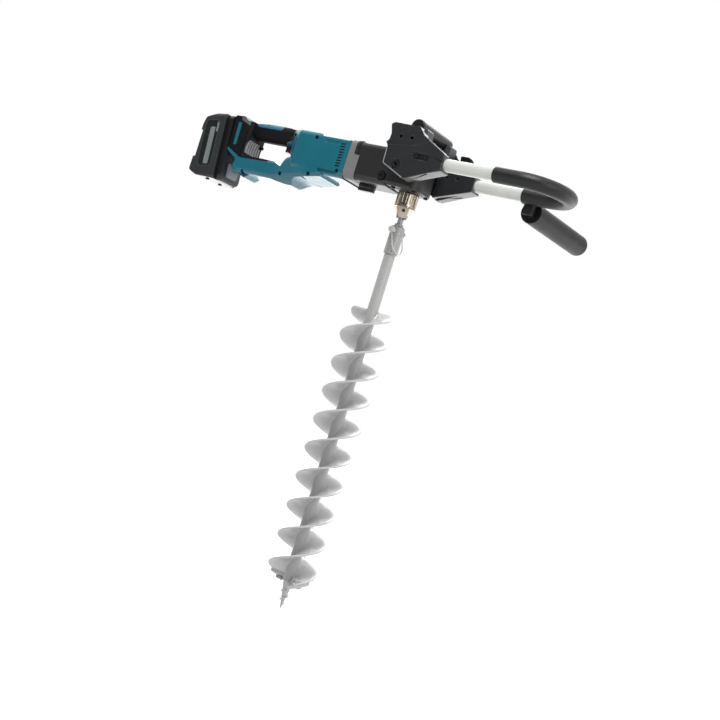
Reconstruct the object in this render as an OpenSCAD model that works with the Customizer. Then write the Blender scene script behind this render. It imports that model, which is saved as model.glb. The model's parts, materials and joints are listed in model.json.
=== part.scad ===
// Battery earth auger: a D-handle motor unit that drives an upright auger bit through a bevel head.
// X points forward from the battery to the front loop, Y to the tool's left, Z up along the spindle.
// The origin lies on the spindle axis, level with the front loop's reference plane.

/* [Layout] */
// Spindle axis to the rear face of the gear case
gear_case_reach = 113; // [110:1:122]
// Length of the bearing plate between gear case and motor
ring_len = 20; // [18:1:26]
// Length of the motor barrel
motor_len = 132; // [126:1:142]
// Web between the motor barrel and the hand opening
front_web = 11; // [9:1:18]
// Length of the hand opening
opening_len = 114; // [105:1:130]
// Height of the hand opening
opening_h = 38; // [35:1:46]
// Length of the block behind the hand opening
rear_block_len = 44; // [42:1:52]

/* [Housing] */
// Height of the motor barrel's top
body_top = 36; // [34:1:40]
// Depth of the motor barrel's underside
body_drop = 46; // [44:1:52]
// Width of the motor barrel and gear case
body_w = 80; // [76:1:90]
// Width of the upper grip bar
top_bar_w = 34; // [32:1:40]
// Height of the upper grip bar
top_bar_h = 34; // [32:1:38]
// Width of the lower bar and the rear block
lower_bar_w = 62; // [58:1:70]
// Height of the lower bar
lower_bar_h = 37; // [35:1:44]
// Thickness of the rubber skin on the grip
skin = 3; // [2:0.5:4]
// Height of the step between the barrel's rear and its vented front
barrel_step = 6.5; // [4:0.5:8]

/* [Battery] */
// Lean of the battery rail from the vertical
rail_tilt = 6; // [0:1:9]
// Height of the battery and of the rail's top
battery_top = 41; // [39:1:46]
// Depth of the battery, front to back, at its top
battery_depth = 66; // [64:1:76]
// Width of the battery
battery_w = 80; // [78:1:90]
// Length of the battery along its rail
battery_len = 140; // [136:1:150]
// Diameter of one cell
cell_d = 21.2; // [20:0.1:21.4]
// Length of one cell
cell_len = 70; // [66:1:71]
// Rows of cells, two cells deep
cell_rows = 5; // [4:1:5]

/* [Motor] */
// Height of the motor axis
motor_z = -10; // [-11:1:-8]
// Outer radius of the stator
stator_r = 31; // [28:0.5:32]
// Length of the stator
stator_len = 62; // [50:1:64]
// Radius of the rotor core
rotor_r = 16; // [14:0.5:17]
// Radius of the rotor shaft
rotor_shaft_r = 4; // [3.5:0.5:4.5]
// Radius of the cooling fan
fan_r = 28; // [24:0.5:29]

/* [Gears] */
// Module of the spur gears
spur_module = 1; // [0.9:0.05:1.05]
// Teeth of the motor pinion
pinion_teeth = 9; // [9:1:10]
// Teeth of the countershaft gear
counter_teeth = 31; // [30:1:32]
// Width of the spur gears
spur_face = 14; // [10:1:16]
// Radius of the countershaft
counter_shaft_r = 6; // [5:0.5:6.5]
// Module of the bevel gears at their large end
bevel_module = 2; // [1.8:0.1:2]
// Teeth of the bevel pinion
bevel_pinion_teeth = 10; // [10:1:11]
// Teeth of the bevel gear
bevel_gear_teeth = 25; // [24:1:26]
// Face width of the bevel gears
bevel_face = 8; // [6:1:9]

/* [Gear case] */
// Height of the gear case's top
case_top = 33; // [33:1:38]
// Depth of the gear case's underside
case_drop = 43; // [42:1:48]
// Reach of the upright head in front of the spindle axis
head_reach = 33; // [33:1:38]
// Distance from the spindle axis to the holder's inner face
holder_inner = 62; // [60:1:66]
// Diameter of the speed knob
knob_d = 34; // [30:1:36]
// Height of the speed knob
knob_h = 12; // [10:1:15]

/* [Handle holder] */
// Distance from the spindle axis to the holder's outer face
holder_outer = 82; // [81:0.5:86]
// Height of the holder plate's top
holder_top = 71; // [70:1:74]
// Reach of the tube sockets in front of the spindle axis
socket_reach = 100; // [96:1:108]
// Diameter of the carry bar's rubber sleeve
carry_d = 29; // [27:1:31]
// Diameter of the carry bar's steel core
carry_core_d = 20; // [16:1:22]
// Position of the carry bar in front of the spindle axis
carry_x = 12; // [8:1:16]
// Height of the carry bar's axis
carry_z = 75; // [73:1:78]
// Length of the brackets under the carry bar's ends
bracket_len = 26; // [18:1:28]

/* [Front loop] */
// Half the distance between the loop's legs
loop_half = 66; // [65:0.5:67]
// Diameter of the loop's tube
loop_tube_d = 24.5; // [22:0.5:25]
// Wall of the loop's tube
loop_tube_wall = 2; // [1.5:0.5:3]
// Height of the loop above the origin
loop_z = 10; // [8:1:12]
// Front of the loop in front of the spindle axis
loop_front = 333; // [315:1:350]
// Diameter of the loop's grip
loop_grip_d = 30; // [29:0.5:32]
// Start of the grip in front of the spindle axis
loop_grip_start = 201; // [190:1:202]
// Depth to which the tubes go into their sockets
tube_seat = 66; // [60:1:68]

/* [Reaction bar] */
// Position of the bar in front of the spindle axis
bar_x = 215; // [214:1:225]
// Height of the bar's axis
bar_z = -14; // [-15:1:-12]
// Tip of the bar, measured to the tool's left
bar_tip = 330; // [310:1:345]
// Diameter of the bar's rubber sleeve
bar_sleeve_d = 43; // [40:1:45]
// Diameter of the bar's steel tube
bar_tube_d = 22; // [20:1:25]

/* [Chuck] */
// Diameter of the chuck sleeve
sleeve_d = 41; // [40:0.5:43]
// Length of the chuck sleeve
sleeve_len = 28; // [26:1:30]
// Diameter of the chuck body inside the sleeve
chuck_body_d = 33; // [32:0.5:34]
// Length of the chuck's tapered nose
nose_len = 20; // [18:1:22]
// Diameter of the chuck's mouth
nose_d = 24; // [23:0.5:26]
// Lean of the jaws from the spindle axis
jaw_tilt = 12; // [11:0.5:12]
// Diameter of a jaw
jaw_d = 7; // [6.5:0.1:7]
// Travel of a jaw along its bore
jaw_travel = 4; // [3:0.5:4]

/* [Auger bit] */
// Diameter of the shank in the chuck
shank_d = 11; // [10.5:0.5:11.5]
// Length of the shank inside the chuck
shank_grip = 26; // [22:1:28]
// Shank that shows between chuck and collar
shank_show = 12; // [8:1:20]
// Diameter of the socket
socket_d = 27; // [26:0.5:30]
// Length of the socket
socket_len = 56; // [50:1:64]
// Diameter of the auger's stem
stem_d = 21.5; // [20:0.5:22]
// Outer diameter of the flights
flight_d = 94; // [80:1:110]
// Lead of each of the two flights
flight_lead = 110; // [90:1:130]
// Turns of each flight
flight_turns = 4.7; // [3:0.1:6]
// Thickness of the flights
flight_t = 4; // [3:0.5:5]
// Direction in which the first flight starts around the stem
flight_start = 31; // [0:1:90]
// Bare stem between the socket and the flights
stem_show = 113; // [100:1:160]
// Length of the pilot screw
pilot_len = 53; // [44:1:64]
// Diameter of the lock pin
lock_pin_d = 8; // [6:0.5:9]
// Length of the lock pin
lock_pin_len = 50; // [46:1:60]

/* [Clearances] */
// Clearance of a running shaft, on the radius
run_gap = 0.05; // [0.02:0.01:0.09]
// Clearance of fixed pieces that fit together
fit_gap = 0.05; // [0.02:0.01:0.1]
// Clearance around sliding pieces
slide_gap = 0.5; // [0.4:0.1:0.8]

/* [Hidden] */
$fn = 64;
eps = 0.1;
arc_steps = 6;

// Positions along X, from the spindle back to the battery
ring_front_x = -gear_case_reach;
ring_rear_x = ring_front_x - ring_len;
motor_rear_x = ring_rear_x - motor_len;
opening_front_x = motor_rear_x - front_web;
opening_rear_x = opening_front_x - opening_len;
handle_rear_x = opening_rear_x - rear_block_len;
barrel_step_x = ring_rear_x - 72;

// Heights of the D-handle
opening_top = body_top - top_bar_h;
opening_bottom = opening_top - opening_h;
lower_bottom = opening_bottom - lower_bar_h;
grip_crown = body_top + 4;
rear_foot_z = lower_bottom - 8;
front_foot_z = lower_bottom - 5;
rail_foot_z = opening_bottom + 3;

// Gear geometry
spur_distance = spur_module * (pinion_teeth + counter_teeth) / 2;
counter_z = motor_z + spur_distance;
bevel_gear_r = bevel_module * bevel_gear_teeth / 2;
bevel_pinion_r = bevel_module * bevel_pinion_teeth / 2;
cone_out = norm([bevel_gear_r, bevel_pinion_r]);
cone_in = cone_out - bevel_face;
gear_cone = atan2(bevel_gear_r, bevel_pinion_r);
pinion_cone = 90 - gear_cone;
spur_front_x = ring_front_x + 21;
spur_rear_x = spur_front_x - spur_face;

// Heights on the spindle
gear_seat_z = counter_z - 21;
lower_bearing_top = gear_seat_z - 2;
lower_bearing_h = 11;
lower_bearing_r = 17.5;
upper_bearing_h = 7;
upper_bearing_r = 11;
upper_bearing_top = case_top - 3;
spindle_neck_r = 5;
spindle_seat_r = 7;
spindle_r = 7.5;
spindle_thread_r = 6.35;
chuck_top = -case_drop - 0.8;
sleeve_bottom = chuck_top - sleeve_len;
chuck_bottom = sleeve_bottom - nose_len;
thread_len = 17;

// Heights on the auger bit
shank_top = chuck_bottom + shank_grip;
collar_h = 4;
socket_top = chuck_bottom - shank_show - collar_h;
socket_bottom = socket_top - socket_len;
socket_bore_depth = socket_len - 8;
pin_drop = 11;
pin_z = socket_top - pin_drop;
flight_top = socket_bottom - stem_show;
flight_bottom = flight_top - flight_turns * flight_lead;
pilot_tip = flight_bottom - pilot_len;

// Front loop
bend_x = loop_front - loop_grip_d / 2 - loop_half;
tube_end_x = socket_reach - tube_seat;
clamp_rise = 4;
clamp_bolt_r = 3;
clamp_end = 2;
clamp_head_r = 5.5;
clamp_inset = 5;
clamp_pitch = 24;
clamp_xs = [tube_end_x + clamp_inset, tube_end_x + clamp_inset + clamp_pitch];
bar_start = loop_half + loop_grip_d / 2 + 4;

function unit(v) = v / norm(v);
function turn(a) = a > 180 ? a - 360 : a < -180 ? a + 360 : a;
// Points of the arc that rounds corner b between its neighbours a and c
function corner_arc(a, b, c, r) = let (
    u = unit(a - b),
    v = unit(c - b),
    half = acos(max(-1, min(1, u * v))) / 2,
    centre = b + unit(u + v) * r / sin(half),
    start = b + u * r / tan(half) - centre,
    finish = b + v * r / tan(half) - centre,
    a0 = atan2(start.y, start.x),
    sweep = turn(atan2(finish.y, finish.x) - a0))
    [for (i = [0:arc_steps]) centre + r * [cos(a0 + sweep * i / arc_steps), sin(a0 + sweep * i / arc_steps)]];
// Outline from corners given as [x, y, corner radius]
function rounded(c) = let (n = len(c))
    [for (i = [0:n - 1]) let (b = [c[i].x, c[i].y])
        each c[i].z == 0 ? [b] : corner_arc([c[(i + n - 1) % n].x, c[(i + n - 1) % n].y], b,
            [c[(i + 1) % n].x, c[(i + 1) % n].y], c[i].z)];
// Outline of a spur gear with straight-flanked teeth
function gear_outline(teeth, m) = let (pitch_r = teeth * m / 2, step = 360 / teeth)
    [for (i = [0:teeth - 1], k = [[-0.31, -1.15], [-0.13, 0.8], [0.13, 0.8], [0.31, -1.15]])
        let (r = pitch_r + k.y * m, a = step * (i + k.x)) r * [cos(a), sin(a)]];
// Position along X of the handle's leaning rear face
function face_x(z) = handle_rear_x + (battery_top - z) * tan(rail_tilt);

module rrect(w, h, r) {
    square([w - 2 * r, h], center = true);
    square([w, h - 2 * r], center = true);
    for (x = [-1, 1], y = [-1, 1])
        translate([x * (w / 2 - r), y * (h / 2 - r)]) circle(r);
}
// Extrude a section drawn in Y and Z along X
module along_x(x0, x1) {
    translate([x0, 0, 0]) rotate([90, 0, 90]) linear_extrude(x1 - x0) children();
}
// Extrude an outline drawn in X and Z along Y
module along_y(y0, y1) {
    translate([0, y1, 0]) rotate([90, 0, 0]) linear_extrude(y1 - y0) children();
}
module rod_x(x0, x1, r, z = 0, y = 0) {
    translate([x0, y, z]) rotate([0, 90, 0]) cylinder(h = x1 - x0, r = r);
}
module rod_y(y0, y1, r, x = 0, z = 0) {
    translate([x, y0, z]) rotate([-90, 0, 0]) cylinder(h = y1 - y0, r = r);
}
module rod_z(z0, z1, r) {
    translate([0, 0, z0]) cylinder(h = z1 - z0, r = r);
}
module box(lo, hi) {
    translate(lo) cube(hi - lo);
}
// Keep the right (-1) or left (+1) half
module half(side) {
    intersection() {
        children();
        translate([handle_rear_x - body_w, side < 0 ? -body_w : 0, -2 * body_w])
            cube([ring_rear_x - handle_rear_x + 2 * body_w, body_w, 4 * body_w]);
    }
}
// Place children in the frame of the leaning battery rail
module in_rail() {
    translate([handle_rear_x, 0, battery_top]) rotate([0, -rail_tilt, 0]) children();
}

// Side outline of the whole D-handle and motor barrel
module housing_outline() {
    polygon(rounded([
        [face_x(battery_top), battery_top, 3], [opening_rear_x - 18, battery_top, 3],
        [opening_rear_x - 6, body_top - 3, 6], [opening_rear_x + 40, grip_crown - 1, 40],
        [opening_front_x - 35, grip_crown, 30], [opening_front_x - 9, body_top, 10],
        [motor_rear_x + 3, body_top - 1, 6], [barrel_step_x - 3, body_top - 1, 3],
        [barrel_step_x + 3, body_top - barrel_step, 3], [ring_rear_x, body_top - barrel_step, 0],
        [ring_rear_x, -body_drop, 0], [motor_rear_x + 75, -body_drop - 6, 20],
        [motor_rear_x + 40, -body_drop - 14, 20], [motor_rear_x + 18, -body_drop - 19, 8],
        [motor_rear_x + 8, front_foot_z + 2, 3], [opening_front_x - 18, front_foot_z, 8],
        [opening_front_x - 42, lower_bottom, 10], [opening_rear_x + 28, lower_bottom, 4],
        [opening_rear_x + 16, rear_foot_z, 3], [opening_rear_x - 12, lower_bottom + 3, 4],
        [opening_rear_x - 10, opening_bottom - 12, 6], [face_x(rail_foot_z), rail_foot_z, 4]]));
}
module opening_outline() {
    polygon(rounded([
        [opening_rear_x, opening_bottom + 1, 10], [opening_rear_x, opening_top, 18],
        [opening_front_x, opening_top, 8], [opening_front_x, opening_top - 26, 4],
        [opening_front_x - 9, opening_bottom - 10, 3], [opening_front_x - 30, opening_bottom - 2, 12]]));
}
// Side outline of the rubber skin
module skin_outline() {
    polygon([
        [face_x(battery_top) - 8, battery_top + 5], [opening_front_x - 5, battery_top + 5],
        [opening_front_x - 8, opening_top + 12], [opening_front_x - 26, opening_top + 5],
        [opening_front_x - 26, opening_top - 10], [opening_front_x - 42, opening_bottom - 1],
        [opening_front_x - 46, opening_bottom - 6], [opening_rear_x, opening_bottom - 8],
        [opening_rear_x - 6, opening_bottom - 6], [face_x(rail_foot_z) - 8, rail_foot_z + 10]]);
}
barrel_round = 12;
module barrel_section() {
    translate([0, (body_top - body_drop) / 2]) rrect(body_w, body_top + body_drop, barrel_round);
}
module lower_section() {
    translate([0, (opening_bottom + lower_bottom) / 2]) rrect(lower_bar_w, lower_bar_h, 9);
}
module top_section(inset = 0) {
    translate([0, (opening_top + grip_crown) / 2])
        rrect(top_bar_w - 2 * inset, grip_crown - opening_top - 2 * inset, 14 - inset);
}
// Outer body of the D-handle and motor barrel, without its hollows
module housing_body() {
    difference() {
        intersection() {
            along_y(-body_w, body_w) housing_outline();
            union() {
                along_x(motor_rear_x + 6, ring_rear_x) barrel_section();
                along_x(handle_rear_x, motor_rear_x + 10) top_section();
                along_x(opening_rear_x - 16, opening_front_x) lower_section();
                translate([(handle_rear_x + opening_rear_x) / 2 + 2, 0, lower_bottom])
                    linear_extrude(battery_top - lower_bottom) rrect(rear_block_len + 8, lower_bar_w, 10);
                box([opening_rear_x - 14, -20, rear_foot_z], [opening_rear_x + 30, 20, lower_bottom + 10]);
                hull() {
                    along_x(opening_front_x - 14, opening_front_x - 13) top_section();
                    along_x(motor_rear_x + 6, motor_rear_x + 7) barrel_section();
                }
                hull() {
                    along_x(opening_front_x - 30, opening_front_x - 29) lower_section();
                    along_x(motor_rear_x + 8, motor_rear_x + 9)
                        translate([0, (front_foot_z + opening_bottom) / 2])
                            rrect(lower_bar_w + 6, opening_bottom - front_foot_z, 9);
                    along_x(motor_rear_x + 44, motor_rear_x + 45)
                        translate([0, -body_drop / 2 - 8]) rrect(body_w, body_drop + 16, barrel_round);
                    along_x(motor_rear_x + 80, motor_rear_x + 81)
                        translate([0, -body_drop / 2 - 3]) rrect(body_w, body_drop + 6, barrel_round);
                }
            }
        }
        along_y(-body_w, body_w) opening_outline();
    }
}
// Plastic core that the rubber skin lies on
module grip_core() {
    intersection() {
        along_y(-body_w, body_w) housing_outline();
        translate([0, 0, -skin]) along_y(-body_w, body_w) housing_outline();
        union() {
            along_x(handle_rear_x + 12, opening_front_x + 5) top_section(skin);
            translate([(handle_rear_x + opening_rear_x) / 2 + 2, 0, opening_bottom - 8])
                linear_extrude(body_top - opening_bottom)
                    rrect(rear_block_len - 8, lower_bar_w - 2 * skin, 8);
        }
    }
}

// Hollows of the housing
stator_rear_x = motor_rear_x + 25;
stator_front_x = stator_rear_x + stator_len;
fan_rear_x = stator_front_x + 6;
fan_len = 11;
duct_r = 20;
rotor_bearing_r = 9.5;
rotor_bearing_len = 8;
rear_seat_x = motor_rear_x + 8;
trigger_w = 13;
trigger_len = 24;
trigger_x = opening_front_x - 28;
trigger_drop = 16;
trigger_rise = 4.5;
switch_lo = [trigger_x - 2, -9, opening_top + 17];
switch_hi = [opening_front_x - 10, 9, grip_crown - 7];
lever_x = opening_front_x - 7;
lever_z = opening_top + 14;
lever_half = 2.5;
lever_w = 8;
lever_proud = 7;
controller_lo = [opening_rear_x + 20, -lower_bar_w / 2 + 8, lower_bottom + 5];
controller_hi = [opening_front_x - 34, lower_bar_w / 2 - 8, opening_bottom - 12];
terminal_depth = 16;

// Housing screws: [x, z, depth of the head's seat from the centre plane]
screw_spots = [
    [opening_front_x - 1, body_top - 12, 12], [motor_rear_x + 49, body_top - 12, 27],
    [opening_front_x - 5, lower_bottom + 13, 26], [motor_rear_x + 54, -body_drop - 4, 33],
    [opening_rear_x + 14, lower_bottom + 2, 14], [ring_rear_x - 15, -body_drop + 12, 24]];
screw_r = 2;
screw_head_r = 3.6;
screw_head_h = 3;
screw_reach = 9;

module screw_holes() {
    for (s = screw_spots) {
        rod_y(-s.z - eps, screw_reach + eps, screw_r + fit_gap, s.x, s.y);
        rod_y(-body_w, -s.z, screw_head_r + 0.6, s.x, s.y);
    }
}
// Vent slots in an upright column on each flank of the barrel
vent_count = 9;
vent_pitch = 5.6;
module vents() {
    for (i = [0:vent_count - 1], side = [-1, 1])
        translate([ring_rear_x - 17.5, side * body_w / 2, -24.5 + i * vent_pitch])
            rotate([0, -4, 0]) cube([11.5, 16, 2.8], center = true);
}
// A shallow band above the vents and a deeper hollow below, pressed into each flank
module flank_recesses() {
    for (side = [0, 1]) mirror([0, side, 0]) {
        box([ring_rear_x - 59, body_w / 2 - 1.2, 17], [ring_rear_x - 26, body_w, 24]);
        box([ring_rear_x - 60, body_w / 2 - 4, -body_drop + 4], [ring_rear_x - 16, body_w, -body_drop + 11.5]);
    }
}
module housing_hollows() {
    rod_x(motor_rear_x + 18, fan_rear_x + fan_len + 3, stator_r + fit_gap, motor_z);
    rod_x(fan_rear_x + fan_len, ring_rear_x + eps, duct_r, motor_z);
    rod_x(rear_seat_x, motor_rear_x + 19, rotor_bearing_r + fit_gap, motor_z);
    rod_x(motor_rear_x + 3, rear_seat_x + eps, rotor_shaft_r + 1, motor_z);
    box(switch_lo - fit_gap * [1, 1, 1], switch_hi + fit_gap * [1, 1, 1]);
    box([trigger_x - slide_gap, -trigger_w / 2 - slide_gap, opening_top - trigger_drop],
        [trigger_x + trigger_len + slide_gap, trigger_w / 2 + slide_gap, switch_lo.z]);
    box([lever_x - lever_w / 2 - slide_gap, -body_w / 2, lever_z - lever_half - slide_gap],
        [lever_x + lever_w / 2 + slide_gap, body_w / 2, lever_z + lever_half + slide_gap]);
    box(controller_lo - fit_gap * [1, 1, 1], controller_hi + fit_gap * [1, 1, 1]);
    in_rail() box([-1, -14 - fit_gap, -46 - fit_gap], [terminal_depth, 14 + fit_gap, -18 + fit_gap]);
    screw_holes();
    vents();
    flank_recesses();
}
// Room at the handle's rear face for the rail plate
plate_t = 5;
plate_len = battery_top - rail_foot_z - 6;
module rail_plate_room(gap) {
    in_rail() box([-20, -lower_bar_w / 2 + 4 - gap, -plate_len - 3 - gap],
        [plate_t + gap, lower_bar_w / 2 - 4 + gap, -3 + gap]);
}
module housing(side) {
    color("teal") half(side) difference() {
        union() {
            difference() {
                housing_body();
                along_y(-body_w, body_w) skin_outline();
            }
            grip_core();
        }
        along_y(-body_w, body_w) opening_outline();
        housing_hollows();
        rail_plate_room(fit_gap);
    }
}
module housing_right() { housing(-1); }
module housing_left() { housing(1); }
module grip_skin(side) {
    color("dimgray") half(side) difference() {
        intersection() {
            housing_body();
            along_y(-body_w, body_w) skin_outline();
        }
        grip_core();
        housing_hollows();
        rail_plate_room(fit_gap);
    }
}
module grip_skin_right() { grip_skin(-1); }
module grip_skin_left() { grip_skin(1); }
module housing_screws() {
    color("darkslategray") for (s = screw_spots) difference() {
        union() {
            rod_y(-s.z, screw_reach, screw_r, s.x, s.y);
            rod_y(-s.z - screw_head_h, -s.z, screw_head_r, s.x, s.y);
        }
        for (a = [0, 90]) translate([s.x, -s.z - screw_head_h, s.y]) rotate([0, a, 0])
            cube([3.6, 2.4, 0.9], center = true);
    }
}

// Controls in the grip
module trigger() {
    color("black") difference() {
        box([trigger_x, -trigger_w / 2, opening_top - trigger_drop],
            [trigger_x + trigger_len, trigger_w / 2, opening_top + trigger_rise]);
        rod_y(-trigger_w, trigger_w, 15, trigger_x + 4, opening_top - trigger_drop - 11);
    }
}
module reverse_lever() {
    color("black") box([lever_x - lever_w / 2, -top_bar_w / 2 - lever_proud, lever_z - lever_half],
        [lever_x + lever_w / 2, top_bar_w / 2 + lever_proud, lever_z + lever_half]);
}
module switch_module() {
    color("dimgray") box(switch_lo, switch_hi);
}
module controller() {
    color("gray") difference() {
        box(controller_lo, controller_hi);
        for (i = [0:8]) translate([controller_lo.x + 5 + i * (controller_hi.x - controller_lo.x - 12) / 8,
            controller_lo.y - eps, controller_hi.z - 6]) cube([2, controller_hi.y - controller_lo.y + 1, 7]);
    }
}

// Battery rail: an upright plate with two L-shaped runners
runner_in = 19;
runner_out = 26;
runner_web = 3.5;
runner_depth = 8;
runner_lip = 3;
module runners(gap, z0, z1) {
    for (s = [-1, 1]) mirror([0, s < 0 ? 1 : 0, 0]) {
        box([-runner_depth - gap, runner_in - gap, z0], [0, runner_in + runner_web + gap, z1]);
        box([-runner_depth - gap, runner_in - gap, z0],
            [-runner_depth + runner_lip + gap, runner_out + gap, z1]);
    }
}
module rail_plate() {
    color("black") difference() {
        union() {
            in_rail() box([0, -lower_bar_w / 2 + 4, -plate_len - 3], [plate_t, lower_bar_w / 2 - 4, -3]);
            in_rail() runners(0, -plate_len - 3, -6);
        }
        in_rail() box([-1, -14 - fit_gap, -46 - fit_gap], [terminal_depth, 14 + fit_gap, -18 + fit_gap]);
    }
}
module terminal_block() {
    color("goldenrod") in_rail() {
        box([-1, -14, -46], [terminal_depth, 14, -18]);
        for (y = [-9, 0, 9]) box([-6, y - 0.6, -42], [-1, y + 0.6, -22]);
    }
}

// Battery in the frame of its rail: x towards the tool, z along the rail
battery_back = -battery_depth - 1;
battery_gap = 1;
cover_t = 15;
cover_inset = 7;
recess_back = 13;
recess_wide = 8;
module battery_outline() {
    polygon(rounded([
        [-battery_gap, -battery_len, 5], [-battery_gap, 0, 3], [battery_back + 26, -1, 6],
        [battery_back + 2, -10, 8], [battery_back - 3, -26, 6], [battery_back - 13, -battery_len + 16, 7],
        [battery_back + 6, -battery_len + 6, 10]]));
}
module battery_body() {
    intersection() {
        along_y(-battery_w / 2, battery_w / 2) battery_outline();
        along_x(battery_back - battery_w, 0) translate([0, -battery_len / 2]) rrect(battery_w, battery_len + 2, 10);
    }
}
cell_pitch = cell_d + 0.4;
cell_room = 0.15;
cell_back = battery_back + 7;
module cells(gap) {
    for (i = [0:cell_rows - 1], j = [0, 1])
        rod_y(-cell_len / 2 - gap, cell_len / 2 + gap, cell_d / 2 + gap,
            cell_back + cell_d / 2 - 3 + j * cell_pitch - i * 1.5, -23 - cell_d / 2 + 8 - i * cell_pitch);
}
button_w = 30;
button_z = -battery_len + 26;
button_h = 30;
button_travel = 4;
button_proud = 7;
button_back = -6.5;
module button_pocket() {
    half_w = button_w / 2 + slide_gap;
    half_h = button_h / 2 + slide_gap;
    box([button_back - button_travel - slide_gap, -half_w, button_z - half_h],
        [button_proud, half_w, button_z + half_h]);
}
module battery_case() {
    color("darkslategray") in_rail() difference() {
        battery_body();
        box([-cover_t, -battery_w, -200], [20, battery_w, 20]);
        cells(cell_room);
        box([cell_back + 4, -cell_len / 2 - cell_room, -battery_len + 26],
            [-cover_t + 1, cell_len / 2 + cell_room, -23]);
        translate([battery_back - recess_back, -battery_w, -battery_len / 2 - 24]) rotate([0, 5, 0])
            cube([recess_wide, 2 * battery_w, 56]);
    }
}
module battery_cover() {
    color("black") in_rail() difference() {
        intersection() {
            battery_body();
            along_x(-cover_t, 10) translate([0, -battery_len / 2])
                rrect(battery_w - 2 * cover_inset, battery_len, 14);
        }
        runners(slide_gap, -plate_len - 3 - slide_gap, 20);
        box([-7.5, -16, -48], [1, 16, 20]);
        button_pocket();
    }
}
module battery_cells() {
    color("steelblue") in_rail() cells(0);
}
module battery_button() {
    color("slategray") in_rail() along_y(-button_w / 2, button_w / 2) polygon(rounded([
        [button_back, button_z - button_h / 2, 0], [button_proud - 3, button_z - button_h / 2, 2],
        [button_proud, button_z - button_h / 2 + 12, 6], [button_proud, button_z + button_h / 2 - 5, 3],
        [button_proud - 4, button_z + button_h / 2, 2], [button_back, button_z + button_h / 2, 0]]));
}

// Motor
module stator() {
    color("sienna") difference() {
        rod_x(stator_rear_x, stator_front_x, stator_r, motor_z);
        rod_x(stator_rear_x - eps, stator_front_x + eps, rotor_r + 0.6, motor_z);
        for (i = [0:5]) translate([0, 0, motor_z]) rotate([i * 60 + 30, 0, 0])
            box([stator_rear_x - eps, rotor_r, -3], [stator_front_x + eps, stator_r - 5, 3]);
    }
}
module rotor() {
    color("silver") {
        rod_x(stator_rear_x + 1, stator_front_x - 1, rotor_r, motor_z);
        rod_x(rear_seat_x + 0.5, spur_rear_x, rotor_shaft_r, motor_z);
        translate([spur_rear_x, 0, motor_z]) rotate([0, 90, 0]) rotate([0, 0, 180 + 180 / pinion_teeth])
            linear_extrude(spur_face) polygon(gear_outline(pinion_teeth, spur_module));
    }
}
fan_blades = 11;
module fan() {
    color("white") difference() {
        union() {
            rod_x(fan_rear_x, fan_rear_x + 2.5, fan_r, motor_z);
            rod_x(fan_rear_x, fan_rear_x + fan_len, 9, motor_z);
            translate([0, 0, motor_z]) for (i = [0:fan_blades - 1]) rotate([i * 360 / fan_blades, 0, 0])
                box([fan_rear_x, -0.9, 8], [fan_rear_x + fan_len - 1, 0.9, fan_r - 1]);
        }
        rod_x(fan_rear_x - eps, fan_rear_x + fan_len + eps, rotor_shaft_r + fit_gap, motor_z);
    }
}
module bearing(outer_r, inner_r, h) {
    color("lightgray") difference() {
        cylinder(h = h, r = outer_r);
        translate([0, 0, -eps]) cylinder(h = h + 2 * eps, r = inner_r);
        for (z = [-eps, h - 0.6]) translate([0, 0, z]) difference() {
            cylinder(h = 0.6 + eps, r = outer_r - 1.5);
            translate([0, 0, -eps]) cylinder(h = 1, r = inner_r + 1.5);
        }
    }
}
front_bearing_x = ring_rear_x + 0.5;
module rotor_rear_bearing() {
    translate([rear_seat_x + 0.5, 0, motor_z]) rotate([0, 90, 0])
        bearing(rotor_bearing_r, rotor_shaft_r + run_gap, rotor_bearing_len);
}
module rotor_front_bearing() {
    translate([front_bearing_x, 0, motor_z]) rotate([0, 90, 0])
        bearing(rotor_bearing_r, rotor_shaft_r + run_gap, rotor_bearing_len);
}

// Bearing plate between motor and gear case
counter_rear_r = 8;
counter_rear_len = 7;
counter_neck_r = 4;
counter_rear_x = ring_front_x - counter_rear_len;
case_round = 12;
head_round = 26;
module case_section(inset = 0) {
    translate([0, (case_top - case_drop) / 2])
        rrect(body_w - 2 * inset, case_top + case_drop - 2 * inset, case_round - inset);
}
// Block with the gear case's outline seen from above, rounded at the front
module case_plan(z0, z1) {
    translate([0, 0, z0]) linear_extrude(z1 - z0) polygon(rounded([
        [ring_front_x - eps, -body_w / 2, 0], [head_reach, -body_w / 2, head_round],
        [head_reach, body_w / 2, head_round], [ring_front_x - eps, body_w / 2, 0]]));
}
module bearing_plate() {
    color("darkgray") difference() {
        along_x(ring_rear_x, ring_front_x)
            translate([0, (case_top - case_drop) / 2]) rrect(body_w + 2, case_top + case_drop + 3, case_round + 1);
        rod_x(ring_rear_x - eps, front_bearing_x + rotor_bearing_len + 0.5,
            rotor_bearing_r + fit_gap, motor_z);
        rod_x(ring_rear_x, ring_front_x + eps, rotor_shaft_r + 1.5, motor_z);
        rod_x(counter_rear_x - 0.5, ring_front_x + eps, counter_rear_r + fit_gap, counter_z);
        for (s = case_bolt_spots) {
            rod_x(ring_rear_x - eps, ring_front_x + eps, case_bolt_r + fit_gap, s.y, s.x);
            rod_x(ring_rear_x - eps, ring_rear_x + 5, case_bolt_r + 2.5, s.y, s.x);
        }
    }
}

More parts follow.
